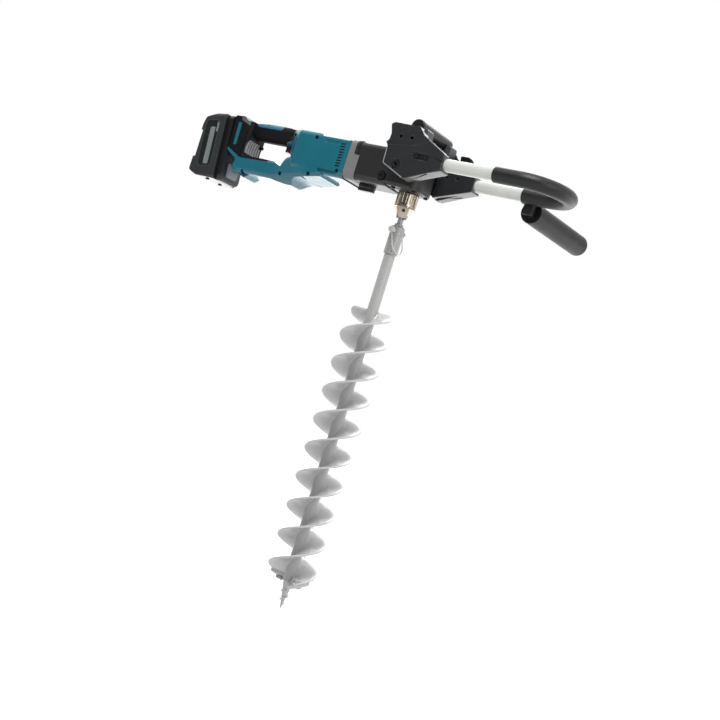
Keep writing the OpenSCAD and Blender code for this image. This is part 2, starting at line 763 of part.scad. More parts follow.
// Gear case with its upright head
case_bolt_r = 2.5;
bolt_reach = 11;
bolt_boss_len = 16;
bolt_boss_r = 6;
case_bolt_spots = [for (y = [-1, 1], z = [case_top - 11, -case_drop + 11]) [y * (body_w / 2 - 11), z]];
screw_boss_r = 13;
pin_boss_r = 9;
holder_screw_r = 5;
holder_screw_reach = 14;
holder_screw = [3, -8];
holder_pin = [-14, 22];
holder_pin_r = 4;
plug_spot = [-46, -26];
plug_r = 8;
plug_seat = 3;
counter_front_r = 13;
counter_front_len = 12;
counter_front_x = -62;
chamber_r = bevel_gear_r + 4;
chamber_bottom = -case_drop + 7;
knob_x = ring_front_x + 18.5;
knob_shaft_r = 5;
floor_t = 6;
module gear_case() {
    color("#303234") difference() {
        union() {
            intersection() {
                along_x(ring_front_x, head_reach) case_section();
                case_plan(-case_drop - eps, case_top + eps);
            }
            for (y = [0, 1]) mirror([0, y, 0]) {
                rod_y(-holder_inner, 0, screw_boss_r, holder_screw.x, holder_screw.y);
                rod_y(-holder_inner, 0, pin_boss_r, holder_pin.x, holder_pin.y);
            }
        }
        difference() {
            along_x(ring_front_x - eps, counter_front_x - 8) case_section(floor_t);
            for (s = case_bolt_spots)
                rod_x(ring_front_x, ring_front_x + bolt_boss_len, bolt_boss_r, s.y, s.x);
        }
        box([-cover_back, -body_w, -case_drop - eps], [head_reach + eps, body_w, chamber_bottom]);
        rod_x(counter_front_x - 9, counter_front_x + counter_front_len, counter_front_r + fit_gap, counter_z);
        rod_x(counter_front_x, 0, bevel_pinion_r + 2.6, counter_z);
        rod_z(-case_drop - eps, upper_bearing_top - upper_bearing_h - 1, chamber_r);
        rod_z(0, upper_bearing_top, upper_bearing_r + fit_gap);
        translate([knob_x, 0, -case_drop - eps]) cylinder(h = floor_t + 1, r = knob_shaft_r + run_gap);
        for (y = [0, 1]) mirror([0, y, 0]) {
            rod_y(-holder_inner - eps, -holder_inner + holder_screw_reach + 2, holder_screw_r + fit_gap,
                holder_screw.x, holder_screw.y);
            rod_y(-holder_inner - eps, -holder_inner + 8, holder_pin_r + fit_gap, holder_pin.x, holder_pin.y);
            rod_y(-body_w / 2 - eps, -body_w / 2 + plug_seat, plug_r + 1.5, plug_spot.x, plug_spot.y);
        }
        for (s = case_bolt_spots) rod_x(ring_front_x - eps, ring_front_x + bolt_reach + 1,
            case_bolt_r + fit_gap, s.y, s.x);
        for (a = cover_screw_angles) rotate(a) translate([cover_screw_pcr, 0, chamber_bottom - eps])
            cylinder(h = 12, r = cover_screw_r + fit_gap);
    }
}
module socket_head(r, h, y) {
    difference() {
        translate([0, y, 0]) rotate([-90, 0, 0]) cylinder(h = h, r = r);
        translate([0, y - eps, 0]) rotate([-90, 0, 0]) cylinder(h = h * 0.6, r = r * 0.5, $fn = 6);
    }
}
module case_bolts() {
    color("dimgray") {
        for (s = case_bolt_spots) {
            rod_x(ring_rear_x + 1, ring_front_x + bolt_reach, case_bolt_r, s.y, s.x);
            rod_x(ring_rear_x + 0.3, ring_rear_x + 5, case_bolt_r + 2, s.y, s.x);
        }
        for (s = [0, 180]) translate([plug_spot.x, 0, plug_spot.y]) rotate([0, 0, s])
            socket_head(plug_r, 5, -body_w / 2 - 2);
    }
}
module speed_knob() {
    color("black") translate([knob_x, 0, -case_drop]) {
        translate([0, 0, -knob_h * 0.5 - 0.5]) cylinder(h = knob_h * 0.5, r = knob_d / 2);
        translate([0, 0, -knob_h - 0.5]) intersection() {
            cylinder(h = knob_h, r = knob_d / 2);
            translate([-knob_d / 2, -6, 0]) cube([knob_d, 12, knob_h]);
        }
        translate([0, 0, -1]) cylinder(h = floor_t + 3, r = knob_shaft_r);
        translate([2.5, 0, floor_t + 1]) cylinder(h = 5, r = 2);
    }
}

// Countershaft with its spur gear and bevel pinion
// Teeth of a bevel gear whose apex is at the origin and whose axis runs down -Z
function cone_point(r, cone, a) = r * [sin(cone) * cos(a), sin(cone) * sin(a), -cos(cone)];
module bevel_teeth(teeth, cone) {
    step = 360 / teeth;
    tip = cone + 0.85 * bevel_module / cone_out * 180 / PI;
    root = cone - 1.35 * bevel_module / cone_out * 180 / PI;
    for (i = [0:teeth - 1]) {
        pts = [for (r = [cone_in, cone_out], k = [[root, -0.31], [root, 0.31], [tip, 0.12], [tip, -0.12]])
            cone_point(r, k.x, step * (i + k.y))];
        polyhedron(pts, [[1, 2, 3, 0], [7, 6, 5, 4], [4, 5, 1, 0], [5, 6, 2, 1], [6, 7, 3, 2], [7, 4, 0, 3]]);
    }
}
// Body under the teeth of a bevel gear, from its bore out to the root cone
module bevel_blank(cone, bore_r, back) {
    root = cone - 1.2 * bevel_module / cone_out * 180 / PI;
    rotate_extrude() polygon([[bore_r, -back], [cone_out * sin(root), -back],
        [cone_out * sin(root), -cone_out * cos(root)], [cone_in * sin(root), -cone_in * cos(root)],
        [bore_r, -cone_in * cos(root)]]);
}
bevel_back = counter_z - gear_seat_z;
module countershaft() {
    color("silver") {
        rod_x(counter_rear_x + 0.5, spur_rear_x, counter_neck_r, counter_z);
        rod_x(spur_front_x, -cone_out * cos(pinion_cone), counter_shaft_r, counter_z);
        translate([spur_rear_x, 0, counter_z]) rotate([0, 90, 0])
            linear_extrude(spur_face) polygon(gear_outline(counter_teeth, spur_module));
        translate([0, 0, counter_z]) rotate([0, 90, 0]) {
            bevel_teeth(bevel_pinion_teeth, pinion_cone);
            bevel_blank(pinion_cone, 0, cone_out * cos(pinion_cone) + 2);
        }
    }
}
module counter_rear_bearing() {
    translate([counter_rear_x, 0, counter_z]) rotate([0, 90, 0])
        bearing(counter_rear_r, counter_neck_r + run_gap, counter_rear_len - 0.5);
}
module counter_front_bearing() {
    translate([counter_front_x, 0, counter_z]) rotate([0, 90, 0])
        bearing(counter_front_r, counter_shaft_r + run_gap, counter_front_len);
}

// Spindle, bevel gear and bearings
module spindle() {
    color("silver") {
        rod_z(upper_bearing_top - upper_bearing_h - 1, upper_bearing_top - 0.5, spindle_neck_r);
        rod_z(gear_seat_z - 0.5, upper_bearing_top - upper_bearing_h - 0.9, spindle_seat_r);
        rod_z(chuck_top, gear_seat_z - 0.4, spindle_r);
        rod_z(chuck_top - thread_len, chuck_top + eps, spindle_thread_r);
    }
}
module bevel_gear() {
    color("gray") translate([0, 0, counter_z]) {
        rotate(bevel_gear_teeth % 2 == 0 ? 180 / bevel_gear_teeth : 0)
            bevel_teeth(bevel_gear_teeth, gear_cone);
        bevel_blank(gear_cone, spindle_seat_r + fit_gap, bevel_back);
    }
}
module spindle_upper_bearing() {
    translate([0, 0, upper_bearing_top - upper_bearing_h])
        bearing(upper_bearing_r, spindle_neck_r + run_gap, upper_bearing_h - 0.2);
}
module spindle_lower_bearing() {
    translate([0, 0, lower_bearing_top - lower_bearing_h])
        bearing(lower_bearing_r, spindle_r + run_gap, lower_bearing_h);
}
cover_screw_angles = [45, 135, 225, 315];
cover_screw_r = 2.5;
cover_head_r = 4.3;
cover_head_h = 3;
cover_screw_pcr = chamber_r + 4.5;
cover_flange_t = 4;
cover_back = 36;
cover_seat_z = chamber_bottom - cover_flange_t;
module bearing_cover() {
    color("#26282a") difference() {
        union() {
            intersection() {
                along_x(-cover_back + fit_gap, head_reach) case_section(1);
                case_plan(cover_seat_z, chamber_bottom);
            }
            rod_z(chamber_bottom - eps, lower_bearing_top + 0.5, chamber_r - fit_gap);
            translate([0, 0, -case_drop]) cylinder(h = case_drop + cover_seat_z + eps,
                r1 = chamber_r - 3, r2 = chamber_r + 3);
        }
        rod_z(lower_bearing_top - lower_bearing_h, case_top, lower_bearing_r + fit_gap);
        rod_z(-case_drop - eps, case_top, spindle_r + 1);
        for (a = cover_screw_angles) rotate(a) translate([cover_screw_pcr, 0, -case_drop])
            cylinder(h = case_drop, r = cover_screw_r + fit_gap);
        for (a = cover_screw_angles) rotate(a) translate([cover_screw_pcr, 0, -case_drop - eps])
            cylinder(h = case_drop + cover_seat_z + eps, r = cover_head_r + 0.3);
    }
}
module cover_screws() {
    color("dimgray") for (a = cover_screw_angles) rotate(a) translate([cover_screw_pcr, 0, 0]) {
        rod_z(cover_seat_z, chamber_bottom + 10, cover_screw_r);
        difference() {
            rod_z(cover_seat_z - cover_head_h, cover_seat_z, cover_head_r);
            rod_z(cover_seat_z - cover_head_h - eps, cover_seat_z - 1, cover_screw_r);
        }
    }
}

// Handle holder: a plate with a tube socket on each side of the head
holder_screw_head_r = 8;
holder_screw_head_h = 8;
socket_wall = 3;
tube_socket_r = loop_tube_d / 2 + socket_wall;
bracket_screw_xs = [-4, 20];
bracket_screw_z = 46;
bracket_screw_r = 1.8;
bolt_recess = 3;
module holder_outline() {
    polygon(rounded([
        [-32, holder_top - 5, 3], [-25, holder_top, 2], [31, holder_top - 1, 5], [45, holder_top - 16, 4],
        [socket_reach - 2, loop_z + 17, 3], [socket_reach - 2, loop_z - 14, 4],
        [27, loop_z - 43, 5], [-25, loop_z - 20, 5], [-26, 23, 3], [-32, 31, 1.5], [-27, 36, 1.5],
        [-26, 48, 4]]));
}
module holder_shape() {
    difference() {
        union() {
            along_y(-holder_outer, -holder_inner) holder_outline();
            hull() {
                box([22, -holder_outer, loop_z - 41], [23, -loop_half + tube_socket_r + 3, loop_z + 20]);
                box([socket_reach - 1, -holder_outer + 1, loop_z - tube_socket_r],
                    [socket_reach, -loop_half + tube_socket_r, loop_z + tube_socket_r]);
            }
        }
        rod_x(tube_end_x - 1, socket_reach + eps, loop_tube_d / 2 + fit_gap, loop_z, -loop_half);
        for (x = clamp_xs) rod_y(-100, 0, clamp_bolt_r + fit_gap, x, loop_z + clamp_rise);
        for (x = clamp_xs) rod_y(-100, -holder_outer + bolt_recess, clamp_head_r + 1, x, loop_z + clamp_rise);
        box([clamp_xs[0], -100, loop_z + clamp_rise - clamp_head_r - 1],
            [clamp_xs[1], -holder_outer + bolt_recess, loop_z + clamp_rise + clamp_head_r + 1]);
        rod_y(-100, 0, holder_screw_r + fit_gap, holder_screw.x, holder_screw.y);
        rod_y(-100, -holder_outer + holder_screw_head_h, holder_screw_head_r + 1,
            holder_screw.x, holder_screw.y);
        rod_y(-holder_inner - 8, -holder_inner + eps, holder_pin_r + fit_gap, holder_pin.x, holder_pin.y);
        for (x = bracket_screw_xs) {
            rod_y(-100, 0, bracket_screw_r + fit_gap, x, bracket_screw_z);
            rod_y(-100, -holder_inner - 6, bracket_screw_r + 1.6, x, bracket_screw_z);
        }
    }
}
module holder_right() { color("#2d3033") holder_shape(); }
module holder_left() { color("#2d3033") mirror([0, 1, 0]) holder_shape(); }
module holder_screws() {
    color("dimgray") for (s = [0, 1]) mirror([0, s, 0]) {
        translate([holder_screw.x, 0, holder_screw.y]) {
            socket_head(holder_screw_head_r, holder_screw_head_h, -holder_outer);
            rod_y(-holder_outer + holder_screw_head_h, -holder_inner + holder_screw_reach, holder_screw_r);
        }
        rod_y(-holder_inner - 7.5, -holder_inner + 7.5, holder_pin_r, holder_pin.x, holder_pin.y);
        for (x = bracket_screw_xs) {
            rod_y(-holder_inner - 6, -holder_inner + bracket_len - 4, bracket_screw_r, x, bracket_screw_z);
            rod_y(-holder_inner - 9, -holder_inner - 6, bracket_screw_r + 1.3, x, bracket_screw_z);
        }
    }
}
module clamp_bolts() {
    color("dimgray") for (s = [0, 1], x = clamp_xs) mirror([0, s, 0]) translate([x, 0, loop_z + clamp_rise]) {
        socket_head(clamp_head_r, bolt_recess - 0.4, -holder_outer + 0.4);
        rod_y(-holder_outer + bolt_recess, -loop_half + loop_tube_d / 2 + clamp_end, clamp_bolt_r);
    }
}
// Carry bar across the top of the holder
bracket_lo = [-13, 0, case_top + 0.5];
bracket_hi = [38, 0, holder_top + 2];
carry_half = holder_inner - 0.5;
carry_round = 2.5;
carry_end = 2;
module carry_brackets() {
    color("#3a3d40") for (s = [0, 1]) mirror([0, s, 0]) difference() {
        along_y(-holder_inner, -holder_inner + bracket_len) polygon(rounded([
            [bracket_lo.x, bracket_lo.z, 2], [bracket_hi.x, bracket_lo.z, 2],
            [bracket_hi.x, bracket_hi.z, 6], [bracket_lo.x + 6, bracket_hi.z, 8]]));
        rod_y(-100, 0, carry_d / 2 + fit_gap, carry_x, carry_z);
        for (x = bracket_screw_xs) rod_y(-100, -holder_inner + bracket_len - 3, bracket_screw_r + fit_gap,
            x, bracket_screw_z);
    }
}
module carry_core() {
    color("silver")
        rod_y(-carry_half + carry_end, carry_half - carry_end, carry_core_d / 2, carry_x, carry_z);
}
module carry_sleeve() {
    color("black") difference() {
        translate([carry_x, 0, carry_z]) rotate([-90, 0, 0]) rotate_extrude() polygon([for (p = rounded([
            [0, -carry_half, 0], [carry_d / 2, -carry_half, carry_round],
            [carry_d / 2, carry_half, carry_round], [0, carry_half, 0]])) [max(0, p.x), p.y]]);
        rod_y(-carry_half + carry_end - fit_gap, carry_half - carry_end + fit_gap,
            carry_core_d / 2 + fit_gap, carry_x, carry_z);
    }
}
// Rubber clip for the chuck key on the left plate's sloping edge
key_r = 4;
module key_clip() {
    color("black") difference() {
        along_y(holder_inner + 2, holder_outer - 4) polygon(rounded([
            [49, holder_top - 18, 0], [76, holder_top - 32, 0], [74, holder_top - 16, 3],
            [66, holder_top - 8, 3], [47, holder_top - 8, 3]]));
        along_y(-200, 200) holder_outline();
        rod_x(40, 80, key_r, holder_top - 14.5, (holder_inner + holder_outer) / 2 - 1);
    }
}

// Front loop
module loop_tube() {
    color("gainsboro") difference() {
        loop_solid(loop_tube_d / 2, tube_end_x);
        loop_solid(loop_tube_d / 2 - loop_tube_wall, tube_end_x - eps);
        for (x = clamp_xs, s = [-1, 1]) translate([x, s * loop_half, loop_z + clamp_rise])
            rotate([90, 0, 0]) cylinder(h = loop_tube_d + 2, r = clamp_bolt_r + fit_gap, center = true);
    }
}
// Two straight legs joined by a half ring
module loop_solid(r, x0) {
    for (s = [-1, 1]) rod_x(x0, bend_x, r, loop_z, s * loop_half);
    translate([bend_x, 0, loop_z]) rotate(-90)
        rotate_extrude(angle = 180) translate([loop_half, 0]) circle(r);
}
lug_len = 20;
lug_gap = 1;
module loop_grip() {
    color("black") difference() {
        loop_solid(loop_grip_d / 2, loop_grip_start);
        loop_solid(loop_tube_d / 2 + fit_gap, loop_grip_start - 1);
        bar_lug_block(lug_gap);
    }
}
// Lug that carries the reaction bar on the left leg
module bar_lug_block(gap) {
    box([bar_x - lug_len / 2 - gap, loop_half + 2, bar_z - bar_tube_d / 2 + 2 - gap],
        [bar_x + lug_len / 2 + gap, bar_start, loop_z + 4 + gap]);
}
module bar_lug() {
    color("dimgray") difference() {
        bar_lug_block(0);
        rod_x(bar_x - 50, bar_x + 50, loop_tube_d / 2 + fit_gap, loop_z, loop_half);
    }
}
module bar_tube() {
    color("silver") difference() {
        rod_y(bar_start, bar_tip - bar_cap, bar_tube_d / 2, bar_x, bar_z);
        rod_y(bar_start + 6, bar_tip, bar_tube_d / 2 - 2, bar_x, bar_z);
    }
}
bar_round = 5;
bar_cap = 8;
module bar_sleeve() {
    color("black") translate([bar_x, 0, bar_z]) rotate([-90, 0, 0]) difference() {
        rotate_extrude() polygon([for (p = rounded([
            [0, bar_start + 0.5, 0], [bar_sleeve_d / 2, bar_start + 0.5, 2],
            [bar_sleeve_d / 2, bar_tip, bar_round], [0, bar_tip, 0]])) [max(0, p.x), p.y]]);
        translate([0, 0, bar_start])
            cylinder(h = bar_tip - bar_cap - bar_start + fit_gap, r = bar_tube_d / 2 + fit_gap);
    }
}

// Keyed chuck
flutes = 18;
key_teeth = 30;
key_hole_z = sleeve_bottom - 6;
key_hole_r = 3.2;
jaw_len = 20;
jaw_seat_r = shank_d / 2 + run_gap + jaw_d * 0.275;
module jaw_frame(i) {
    rotate(i * 120) translate([jaw_seat_r, 0, chuck_bottom]) rotate([0, jaw_tilt, 0]) children();
}
module chuck_body() {
    color("#b5a898") difference() {
        union() {
            rod_z(sleeve_bottom, chuck_top - 0.5, chuck_body_d / 2);
            translate([0, 0, chuck_bottom])
                cylinder(h = nose_len + eps, r1 = nose_d / 2, r2 = chuck_body_d / 2 - 0.5);
        }
        rod_z(chuck_top - thread_len - 0.5, chuck_top, spindle_thread_r + fit_gap);
        rod_z(chuck_bottom - eps, chuck_bottom + shank_grip + 1.5, shank_d / 2 + 0.4);
        for (i = [0:2]) jaw_frame(i) translate([0, 0, -jaw_len])
            cylinder(h = 2 * jaw_len + jaw_travel + 1, r = jaw_d / 2 + run_gap);
        for (i = [0:2]) rotate(60 + i * 120) rod_x(0, sleeve_d, key_hole_r, key_hole_z);
    }
}
module chuck_jaw(i) {
    color("dimgray") intersection() {
        jaw_frame(i) translate([0, 0, -jaw_len / 2]) cylinder(h = jaw_len * 1.5, r = jaw_d / 2);
        rod_z(chuck_bottom - 2, 0, chuck_body_d);
        difference() {
            rod_z(chuck_bottom - 5, 0, chuck_body_d);
            rod_z(chuck_bottom - 6, 1, shank_d / 2 + run_gap);
        }
    }
}
module chuck_jaw_1() { chuck_jaw(0); }
module chuck_jaw_2() { chuck_jaw(1); }
module chuck_jaw_3() { chuck_jaw(2); }
module chuck_sleeve() {
    color("#b8ad9f") difference() {
        rod_z(sleeve_bottom, chuck_top - 0.5, sleeve_d / 2);
        rod_z(sleeve_bottom - eps, chuck_top, chuck_body_d / 2 + run_gap);
        for (i = [0:flutes - 1]) rotate(i * 360 / flutes)
            translate([sleeve_d / 2 + 0.7, 0, sleeve_bottom + 7]) cylinder(h = sleeve_len, r = 1.6, $fn = 16);
        for (i = [0:key_teeth - 1]) rotate(i * 360 / key_teeth)
            translate([chuck_body_d / 2 + 1.6, -0.9, sleeve_bottom - eps]) cube([6, 1.8, 3]);
    }
}

// Auger bit
module bit_adapter() {
    color("silver") difference() {
        union() {
            rod_z(socket_top + eps, shank_top, shank_d / 2);
            rod_z(socket_top, socket_top + collar_h, shank_d / 2 + 3);
            translate([0, 0, socket_bottom]) cylinder(h = socket_len - 3, r = socket_d / 2);
            translate([0, 0, socket_top - 3]) cylinder(h = 3, r1 = socket_d / 2, r2 = socket_d / 2 - 3);
        }
        rod_z(socket_bottom - eps, socket_bottom + socket_bore_depth, stem_d / 2 + fit_gap);
        rod_y(-50, 50, lock_pin_d / 2 + fit_gap, 0, pin_z);
    }
}
module lock_pin() {
    color("silver") {
        rod_y(-lock_pin_len / 2, lock_pin_len / 2, lock_pin_d / 2, 0, pin_z);
        for (y = [0, 1]) mirror([0, y, 0])
            rod_y(-lock_pin_len / 2, -bail_half - 2, lock_pin_d / 2 + 1.6, 0, pin_z);
    }
}
// Wire bail whose eyes turn on the ends of the lock pin
bail_wire_r = 1.1;
bail_half = lock_pin_len / 2 - 4.5;
bail_leg = 24;
bail_lean = asin((socket_d / 2 + bail_wire_r + 0.3) / (bail_leg + bail_half));
eye_r = lock_pin_d / 2 + bail_wire_r + 0.3;
module pin_bail() {
    color("silver") translate([0, 0, pin_z]) rotate([0, 90 - bail_lean, 0]) {
        for (s = [-1, 1]) {
            rod_x(eye_r, bail_leg, bail_wire_r, 0, s * bail_half);
            translate([0, s * bail_half, 0]) rotate([90, 0, 0])
                rotate_extrude() translate([eye_r, 0]) circle(bail_wire_r);
        }
        translate([bail_leg, 0, 0]) rotate(-90)
            rotate_extrude(angle = 180) translate([bail_half, 0]) circle(bail_wire_r);
    }
}
module auger_stem() {
    color("darkgray") difference() {
        rod_z(flight_bottom - 2, socket_bottom + socket_bore_depth - 0.5, stem_d / 2);
        rod_z(flight_bottom + 20, socket_top, stem_d / 2 - 3);
        rod_y(-50, 50, lock_pin_d / 2 + fit_gap, 0, pin_z);
    }
}
// Two helical flights, each a rectangle swept from the stem out to the rim with its first corner rounded
turn_steps = 28;
first_rim = 0.72;
rim_turns = 0.12;
function flight_rim(t) = flight_d / 2 * (first_rim + (1 - first_rim) * sqrt(min(1, t / rim_turns)));
module flight(start) {
    inner = stem_d / 2 / cos(180 / turn_steps) + fit_gap;
    steps = round(flight_turns * turn_steps);
    pts = [for (i = [0:steps])
        let (t = flight_turns * i / steps, a = start - t * 360, z = flight_top - t * flight_lead)
        each [for (k = [[inner, 0], [flight_rim(t), 0], [flight_rim(t), flight_t], [inner, flight_t]])
            [k.x * cos(a), k.x * sin(a), z + k.y - flight_t / 2]]];
    sides = [for (i = [0:steps - 1], k = [0:3]) let (a = 4 * i + k, b = 4 * i + (k + 1) % 4)
        each [[b + 4, b, a], [a + 4, b + 4, a]]];
    polyhedron(pts, concat([[2, 3, 0], [1, 2, 0]],
        [[4 * steps + 2, 4 * steps + 1, 4 * steps], [4 * steps + 3, 4 * steps + 2, 4 * steps]], sides));
}
module auger_flight() {
    color("darkgray") for (start = [flight_start, flight_start + 180]) flight(start);
}
// Pilot: a cone with a sharp thread that draws the bit into the ground
pilot_r = stem_d / 2 - 1;
pilot_turns = 2.2;
thread_rise = 6;
thread_half = 2.2;
function pilot_cone(z) = 1 + (pilot_r - 1) * (z - pilot_tip) / (pilot_len - 2);
function thread_crest(t) = thread_rise * min(1, 4 * t + 0.1, 2 * (1 - t) + 0.1);
module pilot_thread() {
    steps = round(pilot_turns * 24);
    span = pilot_len - 20;
    pts = [for (i = [0:steps])
        let (t = i / steps, a = -t * pilot_turns * 360, z = pilot_tip + 5 + span * (1 - t), r = pilot_cone(z))
        each [for (k = [[-1, -thread_half], [thread_crest(t), 0], [-1, thread_half]])
            [(r + k.x) * cos(a), (r + k.x) * sin(a), z + k.y]]];
    polyhedron(pts, concat([[0, 1, 2]], [[3 * steps + 2, 3 * steps + 1, 3 * steps]],
        [for (i = [0:steps - 1], k = [0:2]) let (a = 3 * i + k, b = 3 * i + (k + 1) % 3)
            each [[b + 3, b, a], [a + 3, b + 3, a]]]));
}
module pilot_screw() {
    color("darkgray") {
        translate([0, 0, pilot_tip]) cylinder(h = pilot_len - 2, r1 = 1, r2 = pilot_r);
        pilot_thread();
    }
}

housing_right();
housing_left();
grip_skin_right();
grip_skin_left();
housing_screws();
trigger();
reverse_lever();
switch_module();
controller();
rail_plate();
terminal_block();
battery_case();
battery_cover();
battery_cells();
battery_button();
stator();
rotor();
fan();
rotor_rear_bearing();
rotor_front_bearing();
bearing_plate();
gear_case();
case_bolts();
speed_knob();
countershaft();
counter_rear_bearing();
counter_front_bearing();
spindle();
bevel_gear();
spindle_upper_bearing();
spindle_lower_bearing();
bearing_cover();
cover_screws();
holder_right();
holder_left();
holder_screws();
clamp_bolts();
carry_brackets();
carry_core();
carry_sleeve();
key_clip();
loop_tube();
loop_grip();
bar_lug();
bar_tube();
bar_sleeve();
chuck_body();
chuck_sleeve();
chuck_jaw_1();
chuck_jaw_2();
chuck_jaw_3();
bit_adapter();
lock_pin();
pin_bail();
auger_stem();
auger_flight();
pilot_screw();
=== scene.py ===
"""Looks of a battery earth auger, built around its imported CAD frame.

Sizes and places in the classes are millimetres in the CAD frame: X forward, Y to the tool's left, Z up, with
the origin on the spindle axis. A mesh turns into metres when its piece is made.
"""

from __future__ import annotations

import json
import logging
import math
from collections.abc import Sequence
from dataclasses import dataclass
from enum import Enum
from typing import Any

import bmesh
import bpy
from bmesh.types import BMEdge, BMesh, BMFace, BMVert
from mathutils import Matrix, Quaternion, Vector
from mathutils.bvhtree import BVHTree

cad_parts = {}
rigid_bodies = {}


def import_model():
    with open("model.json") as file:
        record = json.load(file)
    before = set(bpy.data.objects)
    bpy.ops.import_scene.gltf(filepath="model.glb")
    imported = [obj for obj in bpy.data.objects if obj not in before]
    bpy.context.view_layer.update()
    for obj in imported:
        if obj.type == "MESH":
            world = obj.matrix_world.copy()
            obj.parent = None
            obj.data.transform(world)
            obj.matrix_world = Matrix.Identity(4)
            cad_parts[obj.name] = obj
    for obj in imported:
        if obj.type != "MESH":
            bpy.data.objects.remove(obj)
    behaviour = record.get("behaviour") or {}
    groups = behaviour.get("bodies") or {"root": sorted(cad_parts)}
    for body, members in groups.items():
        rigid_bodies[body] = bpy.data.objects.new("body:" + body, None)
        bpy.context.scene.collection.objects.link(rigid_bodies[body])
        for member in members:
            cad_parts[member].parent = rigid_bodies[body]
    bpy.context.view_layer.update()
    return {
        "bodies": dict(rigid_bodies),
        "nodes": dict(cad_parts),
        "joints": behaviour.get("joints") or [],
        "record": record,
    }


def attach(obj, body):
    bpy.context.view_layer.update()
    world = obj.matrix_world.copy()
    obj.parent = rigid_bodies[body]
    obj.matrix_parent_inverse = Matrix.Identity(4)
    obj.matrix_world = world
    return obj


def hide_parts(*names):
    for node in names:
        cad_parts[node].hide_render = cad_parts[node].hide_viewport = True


LOG = logging.getLogger("auger")
MM = 0.001
BODY = "tool_body"
FAR = 60.0
SMALL_STEPS = 24
COIL_STEPS = 60
HOSE_SIDES = 48
WHITE = (1.0, 1.0, 1.0, 1.0)
Point = tuple[float, float, float]
Spot = tuple[float, float]
Corners = tuple[float, float, float, float]
Outline = tuple[Spot, ...]
Edges = tuple[tuple[str, float], ...]


def linear(colour: tuple[int, int, int]) -> tuple[float, float, float, float]:
    """Turn an sRGB colour of 0 to 255 into linear values with alpha.

    Args:
        colour: red, green and blue as a photo editor shows them.

    Returns:
        The linear colour for a shader socket.
    """
    parts = [c / 255.0 for c in colour]
    low = [c / 12.92 if c <= 0.04045 else ((c + 0.055) / 1.055) ** 2.4 for c in parts]
    return (low[0], low[1], low[2], 1.0)


class Cut(Enum):
    """How one shape acts on another."""

    TAKE = "DIFFERENCE"
    KEEP = "INTERSECT"


class Along(Enum):
    """Direction of an axis."""

    X = (1.0, 0.0, 0.0)
    Y = (0.0, 1.0, 0.0)
    Z = (0.0, 0.0, 1.0)


@dataclass(frozen=True)
class Finish:
    """One surface finish: colour, gloss, grain and a lighter edge colour, part wear and part painted
    highlight.

    grain is the number of grains in a metre, pores the share of open cells in it, and stretch squeezes it
    along an axis for brushed or drawn metal.
    """

    colour: tuple[int, int, int]
    roughness: float
    metallic: float = 0.0
    specular: float = 0.5
    coat: float = 0.0
    coat_roughness: float = 0.18
    grain: float = 900.0
    depth: float = 0.08
    pores: float = 0.0
    mottle: float = 0.10
    # Colour on sharp edges: part wear, part painted highlight.
    edge: tuple[int, int, int] = (120, 124, 126)
    edge_amount: float = 0.12
    edge_radius: float = 0.0012
    stretch: Point = (1.0, 1.0, 1.0)


